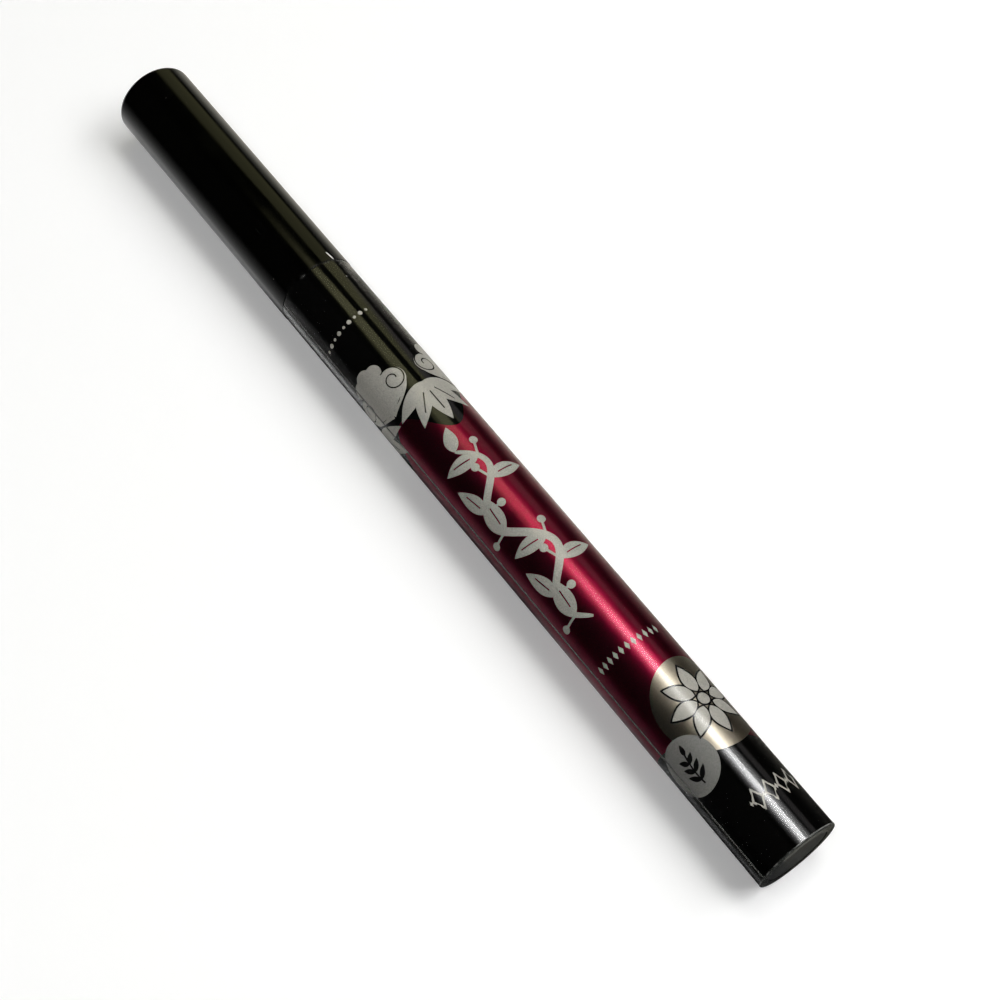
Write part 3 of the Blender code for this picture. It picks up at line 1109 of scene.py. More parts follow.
@dataclass
class BarrelAssembly:
    """Black barrel, the crimson foil on it and the disc that closes its tail."""

    turner: Turner
    levels: Levels
    wall_bore: float = 3.9 * MM
    plug_recess: float = 0.06 * MM
    mouth_gap: float = 0.07 * MM
    foil_tail: float = 14.6 * MM
    foil_tail_slant: float = 2.7 * MM
    foil_front: float = 64.9 * MM
    foil_front_wave: float = 2.5 * MM

    def build(self) -> list[Piece]:
        """Returns the barrel's pieces."""
        return [self.tube(), self.foil(), self.plug()]

    def tube(self) -> Piece:
        """Black tube under the prints, counterbored for the tail's disc."""
        radius = self.levels.layer(0)
        seat = self.turner.span("tail_plug").radius + 0.05 * MM
        tail, shelf, soft = 0.06 * MM, 1.5 * MM, 0.04 * MM
        front = self.turner.span("cap_shell").tail - self.mouth_gap
        outline = [(tail, seat)] + bent_over(tail, radius, 0.15 * MM, 0.42 * MM)
        outline += [(place * MM, radius) for place in (5, 12, 30, 50, 70)]
        outline += rounded((front - soft, radius - soft), soft, 0.0, 90.0)
        outline += [(front, self.wall_bore), (shelf, self.wall_bore), (shelf, seat)]
        finish = UnderFilm("barrel black print", JET, 0.08, tail=self.turner.axis.tail)
        item = self.turner.turn("printed_barrel", outline, finish)
        return Piece(item, Body.PEN, "barrel_foil", ("barrel",))

    def foil_edges(self, angle: float) -> Point:
        """Returns where the foil starts and ends at an angle, as distances from the tail."""
        tail = self.foil_tail + self.foil_tail_slant * math.sin(angle)
        turn = angle - MOTIF_MIDDLE * MM / self.levels.layer(0)
        return tail, self.foil_front - self.foil_front_wave * math.cos(MOTIFS * turn)

    def foil(self) -> Piece:
        """Crimson metal foil round the middle of the barrel, cut to a slant and to waves."""
        turner = self.turner
        section = strip_section(16, self.levels.layer(1), self.levels.layer(0) - 0.02 * MM)
        vertices = []
        for share, radius in section:
            for angle in turner.turns:
                start, end = self.foil_edges(angle)
                vertices.append(turner.axis.point(start + (end - start) * share, angle, radius))
        finish = UnderFilm(
            "crimson foil",
            (0.45, 0.010, 0.062),
            0.28,
            grain=0.08,
            grain_scale=FOIL_GRAIN,
            metallic=1.0,
            tail=turner.axis.tail,
        )
        faces = tube_faces(len(section), turner.sides)
        item = finished("crimson_foil_band", vertices, faces, finish)
        return Piece(item, Body.PEN, "barrel_foil")

    def plug(self) -> Piece:
        """Dished grey disc with its skirt, which closes the tail."""
        span = self.turner.span("tail_plug")
        head, skirt, bore, wall = 1.2 * MM, 3.6 * MM, 2.9 * MM, 0.4 * MM
        edge, recess = 0.15 * MM, self.plug_recess
        outline = [(recess + 0.08 * MM, 0.0), (recess + 0.06 * MM, span.radius * 0.5)]
        outline += [(recess, span.radius * 0.86)]
        outline += rounded((recess + edge, span.radius - edge), edge, -60.0, 0.0)
        outline += [(head, span.radius), (head, skirt), (span.front, skirt), (span.front, bore)]
        outline += [(head + wall, bore), (head + wall, 0.0)]
        finish = SatinMoulding("tail disc grey", (0.040, 0.042, 0.041), 0.42, texture=0.008 * MM)
        item = self.turner.turn("tail_disc", outline, finish, closed=False)
        return Piece(item, Body.PEN, "plug_grey", ("tail_plug",))


@dataclass
class FilmAssembly:
    """Clear film over the barrel: its sleeve, its overlapped seam and its edge at the cap."""

    turner: Turner
    levels: Levels
    printer: Printer
    corner: float = 0.2 * MM
    corner_depth: float = 0.48 * MM
    mouth_gap: float = 0.07 * MM
    lip_bore: float = 4.02 * MM
    seam_angle: float = math.radians(70.5)
    seam_width: float = math.radians(5.4)

    def build(self) -> list[Piece]:
        """Returns the film's pieces."""
        return [self.sleeve(), self.lip(), self.seam(), self.painted_film_glints()]

    def sleeve(self) -> Piece:
        """Clear sleeve from the tail's corner to the cap's mouth."""
        outer = self.levels.film
        inner = outer - self.levels.film_wall
        front = self.turner.span("cap_shell").tail - self.mouth_gap
        outline = [(self.corner, inner), (self.corner, outer)]
        outline += [(place * MM, outer) for place in (2.0, 4.0, 12.0, 30.0, 50.0, 70.0, 86.0)]
        outline += [(front - 0.8 * MM, outer), (front, outer), (front, inner)]
        outline += [(place * MM, inner) for place in (70.0, 40.0, 12.0)]
        axis = self.turner.axis
        finish = ClearFilm(
            "film clear",
            (0.02, 0.02, 0.02),
            0.05,
            clear=0.02,
            cloudy=0.12,
            edge_place=axis.tail - front,
            lines=0.05,
            waves=0.25,
        )
        item = self.turner.turn("clear_film", outline, finish)
        return Piece(item, Body.PEN, "clear_film", ("shrink_film",))

    def lip(self) -> Piece:
        """Crinkled film turned over the tail's corner and in on the flat end."""
        outer, wall = self.levels.film - 0.013 * MM, 0.03 * MM
        start = self.corner + 0.06 * MM
        outline = [(0.0, self.lip_bore), (0.0, self.lip_bore + 0.3 * MM)]
        outline += bent_over(0.0, outer, self.corner, self.corner_depth)
        outline += [(start, outer), (start, outer - wall)]
        inner = bent_over(wall, outer - wall, self.corner - 0.02 * MM, self.corner_depth - 0.02 * MM)
        outline += list(reversed(inner)) + [(wall, self.lip_bore)]
        waves = random.Random(11)
        parts = [(waves.randint(9, 38), waves.uniform(0, 6.3), waves.uniform(0.3, 1.0)) for _ in range(7)]
        depth = 0.006 * MM

        def crinkle(distance: float, angle: float, radius: float) -> float:
            """Small pleats that a shrunk film takes round a corner."""
            wave = sum(size * math.sin(count * angle + phase) for count, phase, size in parts)
            return -depth * abs(wave) if distance < self.corner else 0.0

        # Its pale, opaque band at the corner is a painted highlight along the fold of the film
        finish = ClearFilm(
            "film lip",
            (0.052, 0.055, 0.05),
            0.12,
            clear=0.8,
            cloudy=1.0,
            edge_place=self.turner.axis.tail - self.corner,
            edge_width=0.00014,
        )
        item = self.turner.turn("film_tail_lip", outline, finish, crinkle)
        return Piece(item, Body.PEN, "clear_film")

    def seam(self) -> Piece:
        """Overlap of the film's two long edges, as a thin strip along the pen."""
        axis = self.turner.axis
        start, end = 0.28 * MM, self.turner.span("shrink_film").front
        rows, sway, half = 60, math.radians(0.04), 0.006 * MM
        section = strip_section(5, self.levels.film + half, self.levels.film - half)
        ripple = random.Random(5)
        vertices = []
        for row in range(rows + 1):
            wander = ripple.uniform(-1.0, 1.0) * sway
            for share, radius in section:
                angle = self.seam_angle + self.seam_width * share + wander * (1 - share)
                vertices.append(axis.point(start + (end - start) * row / rows, angle, radius))
        wide = len(section)
        faces = tube_faces(rows + 1, wide, closed=False)
        faces += [tuple(reversed(range(wide))), tuple(range(rows * wide, len(vertices)))]
        finish = SeamFilm(
            "film seam",
            (0.3, 0.3, 0.285),
            0.12,
            clear=0.05,
            cloudy=0.55,
            edge_place=axis.tail,
            lines=0.0,
            waves=0.0,
            angle=self.seam_angle,
            height=axis.height,
            width=self.seam_width,
        )
        item = finished("film_seam", vertices, faces, finish)
        return Piece(item, Body.PEN, "clear_film")


    def painted_film_glints(self) -> Piece:
        """Two small painted glints on the film near the cap: pale plates in place of the light that its
        creases catch.
        """
        painted_film_glints = [streak((89.4, -5.35), (89.05, -5.43), 0.18), streak((88.0, -2.74), (87.82, -2.8), 0.15)]
        # Pale, almost opaque plates: painted highlights on the black film
        finish = ClearFilm("film painted_film_glint", SCUFF_AND_GLINT, 0.2, clear=0.85, cloudy=1.0)
        top = self.levels.film + 0.012 * MM
        item = self.printer.lay("film_painted_glints", Stencil(painted_film_glints), top - PLATE, top, finish)
        return Piece(item, Body.PEN, "clear_film")


@dataclass
class NibAssembly:
    """Nib section with its neck and nose, the sleeve in its tip, and the felt nib."""

    turner: Turner
    spigot: float = 3.6 * MM
    spigot_bore: float = 2.7 * MM
    neck: float = 4.0 * MM
    bead_start: float = 3.5 * MM
    bead_width: float = 1.2 * MM
    bead_height: float = 0.15 * MM
    neck_length: float = 9.5 * MM
    nose: float = 2.85 * MM
    nose_length: float = 6.0 * MM
    tip: float = 2.1 * MM
    seat: float = 1.46 * MM
    felt: float = 0.8 * MM
    felt_taper: float = 5.6 * MM
    felt_point: float = 0.12 * MM

    def build(self) -> list[Piece]:
        """Returns the nib's pieces."""
        return [self.section(), self.sleeve(), self.nib()]

    def section(self) -> Piece:
        """Black moulding from the barrel's spigot to the cone that holds the nib."""
        span = self.turner.span("nib_section")
        mouth = self.turner.span("cap_shell").tail
        neck_end = mouth + self.neck_length
        nose_end = neck_end + self.nose_length
        soft = 0.25 * MM
        small = 0.12 * MM
        outline = [(span.tail, self.spigot_bore), (span.tail, self.spigot - small)]
        outline += rounded((span.tail + small, self.spigot - small), small, -90.0, 0.0)[1:]
        outline += [(mouth, self.spigot)]
        outline += rounded((mouth + small, self.neck - small), small, -90.0, 0.0)
        outline += bead(mouth + self.bead_start, self.bead_width, self.neck, self.bead_height)
        outline += rounded((neck_end - soft, self.neck - soft), soft, 0.0, 90.0)
        outline += [(neck_end, self.nose + 0.1 * MM), (neck_end + 0.1 * MM, self.nose)]
        outline += [(nose_end - 0.2 * MM, self.nose)]
        steps = 8
        for step in range(1, steps + 1):
            share = step / steps
            drop = (self.nose - self.tip) * (share + 0.12 * math.sin(math.pi * share) * -1)
            outline.append((nose_end + (span.front - small - nose_end) * share, self.nose - drop))
        outline += rounded((span.front - small, self.tip - small), small, 0.0, 90.0)
        deep = span.front - 6.0 * MM
        outline += [(span.front, self.seat), (deep, self.seat), (deep, self.seat * 0.6)]
        outline += [(deep - 4.0 * MM, self.seat * 0.6), (deep - 4.0 * MM, self.spigot_bore)]
        finish = GlossMoulding("section black", (0.004, 0.004, 0.004), 0.22, haze=0.08, dust=0.2)
        item = self.turner.turn("black_section", outline, finish)
        return Piece(item, Body.PEN, "section_black", ("nib_section",))

    def sleeve(self) -> Piece:
        """Small black tube round the felt."""
        span = self.turner.span("nib_collar")
        bore = self.felt + 0.02 * MM
        soft = 0.1 * MM
        outline = [(span.tail, bore), (span.tail, span.radius)]
        outline += rounded((span.front - soft, span.radius - soft), soft, 0.0, 90.0)
        outline += [(span.front, bore)]
        finish = GlossMoulding("sleeve black", (0.008, 0.008, 0.008), 0.2, haze=0.06, dust=0.1)
        item = self.turner.turn("nib_sleeve", outline, finish)
        return Piece(item, Body.PEN, "collar_black", ("nib_collar",))

    def nib(self) -> Piece:
        """Felt rod drawn to a fine rounded point."""
        span = self.turner.span("nib")
        shoulder = span.front - self.felt_taper
        outline = [(span.tail, 0.0), (span.tail, self.felt), (shoulder - 1.0 * MM, self.felt)]
        steps = 20
        for step in range(steps + 1):
            share = step / steps
            radius = self.felt_point + (self.felt - self.felt_point) * (1.0 - share**1.5)
            outline.append((shoulder + (self.felt_taper - self.felt_point) * share, radius))
        outline += [(span.front, self.felt_point * 0.5), (span.front, 0.0)]
        hairs = random.Random(3)
        lift = [hairs.uniform(-1.0, 1.0) for _ in range(self.turner.sides)]

        def fibres(distance: float, angle: float, radius: float) -> float:
            """Fine lengthwise strands that stand out of the felt."""
            side = round(angle / (2 * math.pi) * len(lift)) % len(lift)
            return 0.008 * MM * lift[side] if shoulder - 2 * MM < distance < span.front - MM else 0.0

        finish = Fibre("felt soaked black", (0.006, 0.006, 0.007), 0.9, pale=(0.05, 0.048, 0.052))
        item = self.turner.turn("felt_nib", outline, finish, fibres, closed=False)
        return Piece(item, Body.PEN, "felt", ("nib",))


@dataclass
class PrintedOrnament:
    """Silver, champagne and black prints on the barrel, drawn in millimetres."""

    printer: Printer
    levels: Levels

    def __post_init__(self) -> None:
        """Mixes the inks."""
        tail = self.printer.axis.tail
        self.silver = UnderFilm(
            "silver ink", (0.47, 0.455, 0.405), 0.42, grain=0.2, metallic=0.25, gloss=0.6, tail=tail
        )
        self.grey = UnderFilm(
            "grey ink", (0.24, 0.237, 0.22), 0.5, grain=0.2, metallic=0.15, gloss=0.5, tail=tail
        )
        self.black = UnderFilm("black line ink", (0.003, 0.003, 0.003), 0.2, gloss=0.8, tail=tail)
        self.champagne = UnderFilm(
            "champagne foil",
            (0.64, 0.57, 0.45),
            0.37,
            grain=0.06,
            grain_scale=FOIL_GRAIN,
            metallic=1.0,
            tail=tail,
        )

    @property
    def period(self) -> float:
        """Arc that one motif of the scroll border takes."""
        return 2 * math.pi * self.printer.radius / MM / MOTIFS

    def build(self) -> list[Piece]:
        """Returns the printed pieces."""
        plates = [
            ("scroll_border", self.scroll_border(), 2, self.silver),
            ("vine_stem", self.vine(), 2, self.silver),
            ("lozenge_row", self.lozenges(), 2, self.silver),
            ("bead_row", self.beads(), 1, self.silver),
            ("tail_diamonds", self.diamonds(), 1, self.silver),
            ("champagne_disc", Stencil([circle((18.6, -1.9), 6.0, 130)]), 2, self.champagne),
            ("rosette_lines", self.rosette(0.22), 3, self.black),
            ("rosette_petals", self.rosette(0.0), 4, self.silver),
            ("grey_disc", Stencil([circle((13.85, 4.3), 3.42, 90)]), 3, self.grey),
            ("sprig_lines", self.sprig(), 4, self.black),
        ]
        pieces = []
        for name, stencil, layer, finish in plates:
            top = self.levels.layer(layer)
            item = self.printer.lay(name, stencil, top - 1.6 * self.levels.step, top, finish)
            pieces.append(Piece(item, Body.PEN, "barrel_foil"))
        return pieces

    def scroll_border(self) -> Stencil:
        """Border of facing volutes, scalloped fans and hanging palmettes, repeated round the pen."""
        stencil = Stencil()
        for index in range(MOTIFS):
            middle = MOTIF_MIDDLE + self.period * index
            for side in Side:
                self._volute(stencil, middle, side)
            self._palmette(stencil, middle)
        return stencil

    def _volute(self, stencil: Stencil, middle: float, side: Side) -> None:
        """Adds one volute with its stem and its half of the fan behind it."""

        def place(*points: Point) -> Outline:
            """Returns points that stand aside from the motif's middle."""
            return [(distance, middle + side.value * aside) for distance, aside in points]

        half = self.period / 2
        stem = place((72.4, 1.25), (70.8, 1.75), (69.8, 3.0), (69.2, 4.4), (68.8, 5.5))
        brim = place((69.0, half + 0.05), (74.1, half + 0.05), (73.3, 3.9))
        spots = place((74.7, half - 0.1), (74.4, 4.0), (73.1, 4.75), (72.1, 2.55))
        stencil.added.append([stem[-1], *brim, *stem[:-1]])
        stencil.added += [circle(spot, size) for spot, size in zip(spots, (1.25, 1.1, 1.2, 1.62))]
        curve = smooth(stem)
        stencil.added.append(ribbon(curve, np.linspace(0.6, 1.0, len(curve))))
        stencil.cut.append(ribbon(spiral(spots[-1], 0.42, 1.72, 1.35, 30.0, side), 0.17))

    def _palmette(self, stencil: Stencil, middle: float) -> None:
        """Adds five petals that hang from the middle of the two volutes."""
        foot = (69.7, middle)
        for heading, length, width, bend in (
            (180.0, 6.4, 2.2, 0.0),
            (150.0, 6.3, 2.1, -0.06),
            (210.0, 6.3, 2.1, 0.06),
            (122.0, 5.9, 1.9, -0.10),
            (238.0, 5.9, 1.9, 0.10),
        ):
            stencil.added.append(leaf(foot, heading, length, width, bend))
        for heading, length in ((180.0, 4.6), (150.0, 4.4), (210.0, 4.4)):
            stencil.cut.append(ribbon(ray(foot, heading, 1.6, length), 0.16))

    def vine(self) -> Stencil:
        """Running vine: one waving stem with a leaf and a stalked berry at each place in turn."""
        first, last, middle, sway, waves = 33.6, 59.6, 1.6, 2.3, 2.0
        steps, leaves, turns = 90, 8, 2 * math.pi * waves
        shares = [step / steps for step in range(steps + 1)]
        line = [(first + (last - first) * share, middle + sway * math.sin(turns * share)) for share in shares]
        widths = [0.28 + 0.72 * math.sin(math.pi * share) ** 0.4 for share in shares]
        stencil = Stencil([ribbon(line, widths), leaf(line[-1], -18.0, 3.4, 1.7)])
        for index in range(leaves):
            share = (index + 0.45) / leaves
            foot = line[int(steps * share)]
            slope = sway * turns / (last - first) * math.cos(turns * share)
            heading = math.degrees(math.atan(slope))
            side = 1 if index % 2 else -1
            aim = heading + side * 46.0
            stalk = ray(foot, heading - side * 58.0, 0.0, 2.2)
            stencil.added += [leaf(foot, aim, 4.7, 2.0, 0.06 * side), ribbon(stalk, 0.3)]
            stencil.added.append(circle(stalk[-1], 0.52, 28))
            stencil.cut.append(ribbon(ray(foot, aim, 1.1, 3.4), 0.16))
        return stencil

    def lozenges(self) -> Stencil:
        """Row of small lozenges across the foil."""
        return Stencil([diamond((28.5, -3.4 + 0.86 * index), 1.15, 0.55) for index in range(11)])

    def beads(self) -> Stencil:
        """Row of small beads across the black print near the cap, large and small in turn."""
        places = [(82.2 - 0.12 * index, -1.6 + 0.92 * index) for index in range(9)]
        return Stencil([circle(place, 0.3 if index % 2 else 0.2, 20) for index, place in enumerate(places)])

    def diamonds(self) -> Stencil:
        """Row of open diamonds across the black tail."""
        stencil = Stencil()
        distance, first, pitch = 6.5, 0.9, 1.75
        for index in range(4):
            centre = (distance, first - pitch * index)
            beside = (distance, first - pitch * (index - 0.5))
            stencil.added += [diamond(centre, 2.9, 1.5), diamond(beside, 0.7, 0.34)]
            stencil.cut.append(diamond(centre, 2.0, 0.95))
        return stencil

    def rosette(self, margin: float) -> Stencil:
        """Eight petals round a button, made larger by a margin for the lines behind them."""
        centre = (18.75, -2.0)
        petals = []
        for index in range(8):
            turn = 45.0 * index
            foot = ray(centre, turn, 1.05 - margin, 1.05)[0]
            petals.append(leaf(foot, turn, 3.5 + 2.6 * margin, 1.68 + 2 * margin))
        return Stencil([*petals, circle(centre, 0.72 + margin, 32)])

    def sprig(self) -> Stencil:
        """Small sprig of leaves on the small disc."""
        line = [(11.5, 4.15), (12.8, 4.3), (14.2, 4.15), (15.4, 3.9)]
        shapes = [ribbon(smooth(line), 0.2)]
        for index in range(3):
            foot = (12.0 + 1.05 * index, 4.2)
            shapes += [leaf(foot, heading, 1.75 - 0.2 * index, 0.62) for heading in (48.0, -48.0)]
        return Stencil([*shapes, leaf((15.1, 3.95), -12.0, 1.3, 0.6)])


def smooth(line: Sequence[Point], rounds: int = 3) -> Outline:
    """Returns a line whose corners are cut off, again and again, into a curve."""
    points = list(line)
    for _ in range(rounds):
        pairs = zip(points, points[1:])
        cut = [between(start, end, share) for start, end in pairs for share in (0.25, 0.75)]
        points = [points[0], *cut, points[-1]]
    return points


def ray(foot: Point, heading: float, start: float, end: float) -> Outline:
    """Returns points of a straight line from a foot, between two reaches of it."""
    turn = math.radians(heading)
    reaches = [start + (end - start) * step / 7 for step in range(8)]
    return [(foot[0] + reach * math.cos(turn), foot[1] + reach * math.sin(turn)) for reach in reaches]


def diamond(centre: Point, length: float, width: float) -> Outline:
    """Returns a diamond's corners, with its length along the pen."""
    x, y = centre
    return [(x + length / 2, y), (x, y + width / 2), (x - length / 2, y), (x, y - width / 2)]


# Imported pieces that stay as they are


def dress_inner_pieces(nodes: dict[str, bpy.types.Object]) -> None:
    """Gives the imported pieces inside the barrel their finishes."""
    finishes = {
        "ink_reservoir": Fibre("wad inked", (0.01, 0.009, 0.01), 0.95, pale=(0.09, 0.085, 0.09)),
        "feed_wick": Fibre("wick inked", (0.03, 0.028, 0.03), 0.9, pale=(0.2, 0.19, 0.2)),
        "reservoir_wrap": ClearFilm("wrap film", (0.6, 0.59, 0.56), 0.18, clear=0.45, cloudy=0.6),
    }
    for name, finish in finishes.items():
        mesh = nodes[name].data
        mesh.materials.clear()
        mesh.materials.append(finish.material())
        LOG.info("%s: packed piece in %s", name, finish.name)


# Studio


@dataclass(frozen=True)
class Card:
    """A glowing or dark card that only gloss and diffuse light show, never the camera.

    Attributes:
        name: Its name.
        low: Its lowest corner, in metres.
        high: Its opposite corner.
        colour: Its colour.
        dim: Its colour where it is weak, over the cap's side.
        turning: X where the dim colour stops, from and to.
    """

    name: str
    low: Place
    high: Place
    colour: Colour = WHITE
    dim: Colour = WHITE
    turning: Point = (-0.2, -0.1)

    def corners(self) -> list[Place]:
        """Returns its four corners: it is level, or stands along X."""
        (x0, y0, z0), (x1, y1, z1) = self.low, self.high
        if z0 == z1:
            return [(x0, y0, z0), (x0, y1, z0), (x1, y1, z0), (x1, y0, z0)]
        return [(x0, y0, z0), (x1, y0, z0), (x1, y1, z1), (x0, y1, z1)]


Glow = Callable[[Bench, Socket, Socket, Socket], Socket]


@dataclass
class Studio:
    """Floor, lights, world and camera."""

    aim: Place = (0.0114632, 0.0004421, 0.00525)
    distance: float = 0.2142033
    azimuth: float = 53.1014
    elevation: float = 61.8861
    focal_pixels: float = 1819.768
    image_pixels: float = 1000.0
    floor_tone: float = 0.92
    floor_lift: float = 0.18
    floor_reach: float = 0.9
    world_fill: float = 0.045
    world_gloss: float = 0.006
    key: float = 9.4
    ceiling: float = 0.5
    shoulder: float = 2.6
    warm: float = 0.34
    side_power: float = 4.3
    front_power: float = 2.1

    def build(self) -> None:
        """Sets the whole studio."""
        self.floor()
        self.lights()
        self.shades()
        self.world()
        self.camera()
        bpy.context.scene.view_settings.view_transform = "Standard"

    def floor(self) -> None:
        """Pale floor that looks white where it is fully lit, and keeps the pen's shadow."""
        item = self._sheet("floor", 0.0)
        made = bpy.data.materials.new("floor paper")
        made.use_nodes = True
        item.data.materials.append(made)
        bench = Bench(made.node_tree)
        path = bench.add("LightPath").outputs
        seen = bench.most(*(path[f"Is {kind} Ray"] for kind in ("Camera", "Glossy", "Transmission")))
        x, y, _ = bench.axes()
        away = bench.math("POWER", bench.plus(bench.times(x, x), bench.times(y, y)), 0.5)
        lift = bench.ramp(away, 0.25, 0.8, self.floor_lift, 1.0)
        paper = {
            "Base Color": _rgba((self.floor_tone,) * 3),
            "Roughness": 1.0,
            "Specular IOR Level": 0.0,
            "Emission Color": _rgba(WHITE),
            "Emission Strength": bench.times(seen, lift),
        }
        bench.fill(made.node_tree.nodes["Principled BSDF"], paper)

    def _sheet(self, name: str, height: float) -> bpy.types.Object:
        """Returns a level sheet as large as the floor."""
        reach = self.floor_reach
        return self._plane(Card(name, (-reach, -reach, height), (reach, reach, height)))

    @staticmethod
    def _plane(card: Card) -> bpy.types.Object:
        """Returns a flat sheet that belongs to the studio."""
        mesh = bpy.data.meshes.new(card.name)
        mesh.from_pydata(card.corners(), [], [(0, 1, 2, 3)])
        item = placed(card.name, mesh)
        return item

    def lights(self) -> None:
        """Soft card overhead, cards that show in the gloss, and washes that only light surfaces.

        Places are in metres. A card's far end along -X shows in the cap's gloss, its near end in the tail's.
        """

        def overhead(bench: Bench, x: Socket, y: Socket, z: Socket) -> Socket:
            """Bright over the tail with a sharp far edge, dimmer over the cap."""
            near = bench.times(bench.ramp(x, -0.22, -0.03), self.key)
            key = bench.times(near, bench.math("POWER", bench.ramp(y, -0.16, 0.2), 5.0))
            end = bench.times(bench.ramp(x, *CARD_END), self.ceiling)
            end = bench.times(end, bench.ramp(x, -0.25, -0.17, 1.0, 0.4))
            away = bench.math("SUBTRACT", y, bench.ramp(x, -0.44, -0.285, 0.16, -0.035))
            wide = bench.plus(bench.ramp(away, -0.02, 0.03, 0.0, 0.45), bench.ramp(y, 0.03, 0.1, 0.0, 0.7))
            return bench.plus(key, bench.times(end, wide))

        def beside(bench: Bench, x: Socket, y: Socket, z: Socket) -> Socket:
            """Dim beyond the bright card's far edge, and only narrow over the cap."""
            near = bench.ramp(x, -0.4, -0.04, 0.0, self.shoulder)
            reach = bench.ramp(x, -0.14, -0.06, 0.48, 0.62)
            fall = bench.math("POWER", bench.ramp(y, reach, 0.22), 1.6)
            edge = bench.times(bench.ramp(x, *CARD_END), bench.ramp(x, -0.25, -0.2, 1.0, 0.0))
            edge = bench.times(edge, bench.ramp(y, 0.335, 0.325, 0.0, 1.15 * self.ceiling))
            return bench.most(bench.times(near, fall), edge)

        def wall(bench: Bench, x: Socket, y: Socket, z: Socket) -> Socket:
            """Warm and even, fading out upwards and, over the tail, downwards."""
            top = bench.times(bench.ramp(z, 1.3, 0.75), bench.ramp(x, -0.6, -0.5, 1.0, 0.55))
            low = bench.ramp(x, -0.62, -0.25, 0.12, 0.52)
            foot = bench.ramp(bench.math("SUBTRACT", z, low), -0.05, 0.08)
            return bench.times(top, foot, self.warm)

        olive, plain = (0.94, 0.92, 0.48), (0.85, 0.8, 0.8)
        self._card(Card("overhead_card", (-0.6, -0.16, 0.6), (0.14, 0.268, 0.6), dim=olive), overhead)
        self._card(Card("shoulder_card", (-0.6, 0.27, 0.6), (0.14, 0.6, 0.6), dim=olive), beside)
        behind = Card("warm_wall", (-1.6, 0.9, 0.1), (0.6, 0.9, 1.3), plain, olive, (-0.6, -0.5))
        self._card(behind, wall)
        self._wash("side_wash", (0.28, 0.42, 0.62), (0.6, 0.36), self.side_power)
        self._wash("front_wash", (0.0, -0.2, 0.75), (0.4, 0.3), self.front_power)

    def _card(self, card: Card, glow: Glow) -> None:
        """Adds a card whose strength changes over it.

        Args:
            card: Where it is.
            glow: Gives its strength from a bench and the place's X, Y and Z.
        """
        item = self._plane(card)
        item.visible_camera = False
        bench = Bench.bare(item)
        x, y, z = bench.axes()
        strength = glow(bench, x, y, z)
        plain = bench.most(bench.ramp(strength, 0.45, 1.3), bench.ramp(x, *card.turning))
        values = {"Color": bench.blend(plain, card.dim, card.colour), "Strength": strength}
        bench.add("OutputMaterial", {"Surface": bench.add("Emission", values).outputs[0]})

    def shades(self) -> None:
        """Dark veil just over the floor that only gloss shows, thicker away from the pen: painted shade in
        the pen's reflections of the floor.
        """
        item = self._sheet("gloss_veil", 0.2 * MM)
        for switch in ("camera", "diffuse", "transmission", "volume_scatter", "shadow"):
            setattr(item, "visible_" + switch, False)
        bench = Bench.bare(item)
        x, y, _ = bench.axes()
        away = bench.most(bench.math("ABSOLUTE", y), 1.0 * MM)
        side = bench.math("GREATER_THAN", y, 0.0)
        span = bench.pick(side, bench.line(x, -0.055, 7.3 * MM), bench.line(x, -0.13, 13.0 * MM))
        clear = bench.math("DIVIDE", bench.most(span, 1.2 * MM), away)
        clear = bench.math("POWER", bench.least(clear, 1.0), bench.pick(side, 1.35, 1.0))
        past_mouth = bench.ramp(bench.line(away, 0.42, x), -0.029, -0.023, 1.0, bench.pick(side, 0.9, 0.45))
        ends = bench.pick(side, self._before(bench, x, away), self._behind(bench, x))
        clear = bench.times(clear, past_mouth, ends)
        # Painted warm tint in the reflections of the floor on the +Y side
        warmth = enumerate((1.0, 0.96, 0.84))
        tint = {index: bench.times(clear, bench.pick(side, 1.0, share)) for index, share in warmth}
        glass = bench.add("BsdfTransparent", {"Color": bench.add("CombineColor", tint).outputs[0]})
        bench.add("OutputMaterial", {"Surface": glass.outputs[0]})

    @staticmethod
    def _before(bench: Bench, x: Socket, away: Socket) -> Socket:
        """Returns how clear the veil is before the pen, along it and away from it.

        Places are in metres: the cap's mouth is at X -0.026, and the crimson foil runs from 0 to 0.05.
        """
        before = bench.most(
            bench.ramp(x, -0.016, 0.0, 1.0, 0.25),
            bench.ramp(x, 0.02, 0.034, 0.25, 0.5),
            bench.ramp(x, 0.04, 0.054),
            bench.ramp(away, 0.007, 0.016, 0.0, 0.8),
        )
        cap = bench.ramp(x, -0.034, -0.026, 0.7, bench.ramp(x, -0.02, -0.008, 0.25, 0.9))
        deep = bench.least(cap, bench.ramp(x, 0.044, 0.054, 1.0, 0.1))
        middle = bench.least(bench.ramp(x, -0.042, -0.026), bench.ramp(x, 0.032, 0.022))
        middle = bench.most(middle, bench.ramp(x, 0.044, 0.054))
        # Painted shadow right beside the pen, as the gloss shows the floor there
        under = bench.ramp(away, 0.0054, 0.0078, 0.05, 1.0)
        return bench.times(
            before,
            bench.ramp(x, 0.03, 0.065, 1.0, 0.5),
            bench.ramp(away, 0.0078, 0.0118, 1.0, deep),
            bench.ramp(middle, 0.0, 1.0, 1.0, under),
        )

    @staticmethod
    def _behind(bench: Bench, x: Socket) -> Socket:
        """Returns how clear the veil is behind the pen, along it."""
        tail = bench.times(bench.ramp(x, 0.02, 0.056, 1.0, 0.42), bench.ramp(x, 0.054, 0.064, 1.0, 0.35))
        tail = bench.most(tail, bench.ramp(x, 0.0652, 0.0664, 0.0, 0.4))
        return bench.times(tail, bench.ramp(x, -0.03, -0.01, 0.55, 0.85))

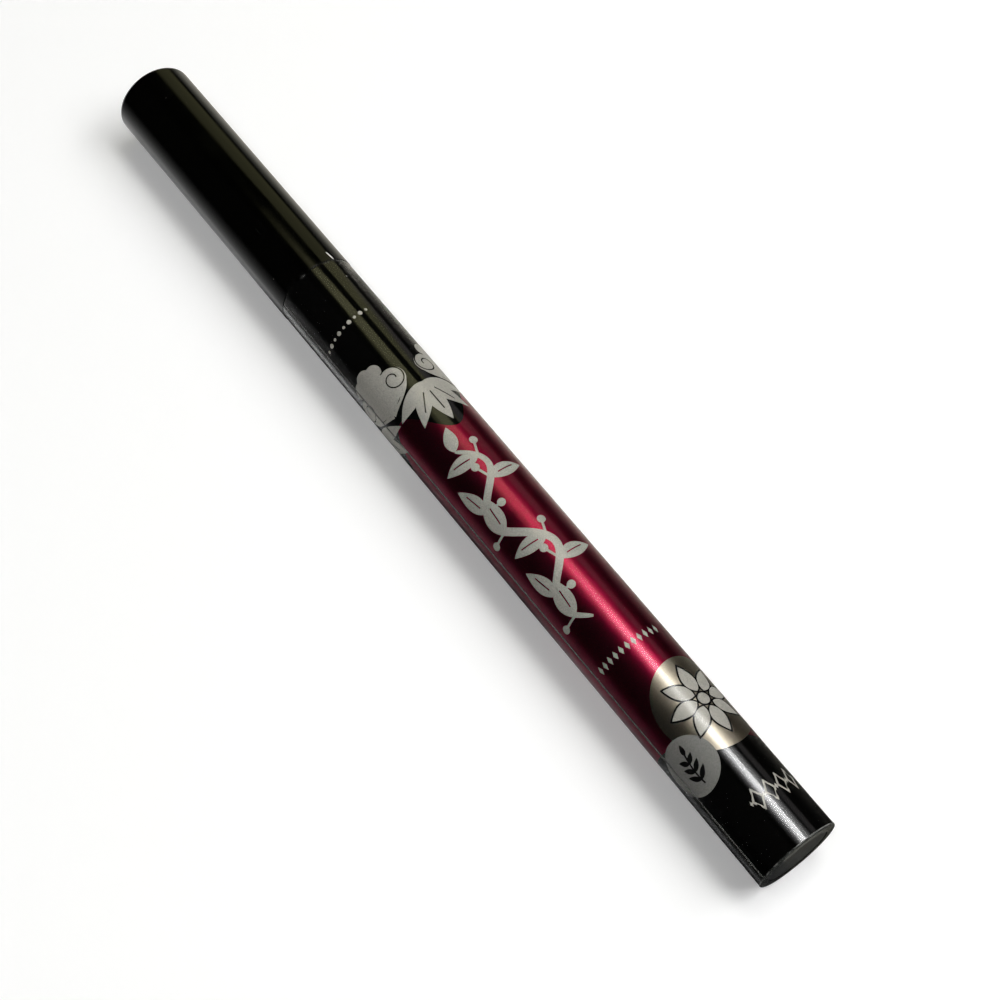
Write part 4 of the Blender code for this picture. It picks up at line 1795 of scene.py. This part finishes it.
    def _wash(self, name: str, place: Place, size: Point, power: float) -> None:
        """Adds a soft light that gloss doesn't show, aimed at the pen."""
        light = bpy.data.lights.new(name, "AREA")
        light.shape = "RECTANGLE"
        light.size, light.size_y = size
        light.energy = power
        item = placed(name, light)
        item.location = place
        item.rotation_euler = (-Vector(place)).to_track_quat("-Z", "Y").to_euler()
        item.visible_glossy = False
        item.visible_camera = False

    def world(self) -> None:
        """White surroundings for the camera, and a faint fill for everything else."""
        world = bpy.data.worlds.new("studio")
        world.use_nodes = True
        bench = Bench(world.node_tree)
        path = bench.add("LightPath").outputs
        fill = bench.pick(path["Is Glossy Ray"], self.world_fill, self.world_gloss)
        strength = bench.pick(path["Is Camera Ray"], fill, 1.0)
        bench.fill(world.node_tree.nodes["Background"], {"Color": _rgba(WHITE), "Strength": strength})
        bpy.context.scene.world = world

    def camera(self) -> None:
        """Camera at the photograph's viewing angle."""
        turn, rise = math.radians(self.azimuth), math.radians(self.elevation)
        back = Vector((math.sin(turn) * math.cos(rise), -math.cos(turn) * math.cos(rise), math.sin(rise)))
        right = Vector((math.cos(turn), math.sin(turn), 0.0))
        facing = Matrix((right, back.cross(right), back)).transposed().to_4x4()
        data = bpy.data.cameras.new("camera")
        data.sensor_width = 36.0
        data.lens = data.sensor_width * self.focal_pixels / self.image_pixels
        data.clip_start, data.clip_end = 0.01, 20.0
        item = placed("camera", data)
        item.matrix_world = Matrix.Translation(Vector(self.aim) + back * self.distance) @ facing
        bpy.context.scene.camera = item


def main() -> None:
    """Builds the pen's pieces on the frame, then the studio."""
    logging.basicConfig(level=logging.INFO, format="%(name)s: %(message)s")
    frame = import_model()
    axis = PenAxis.read(frame["nodes"])
    turner = Turner(axis)
    levels = Levels(axis.spans["shrink_film"].radius)
    printer = Printer(axis, levels.layer(2))
    assemblies = [
        CapAssembly(turner, printer),
        BarrelAssembly(turner, levels),
        FilmAssembly(turner, levels, printer),
        NibAssembly(turner),
        PrintedOrnament(printer, levels),
    ]
    for assembly in assemblies:
        for piece in assembly.build():
            piece.hand_over()
    dress_inner_pieces(frame["nodes"])
    Studio().build()


if __name__ == "__main__":
    main()
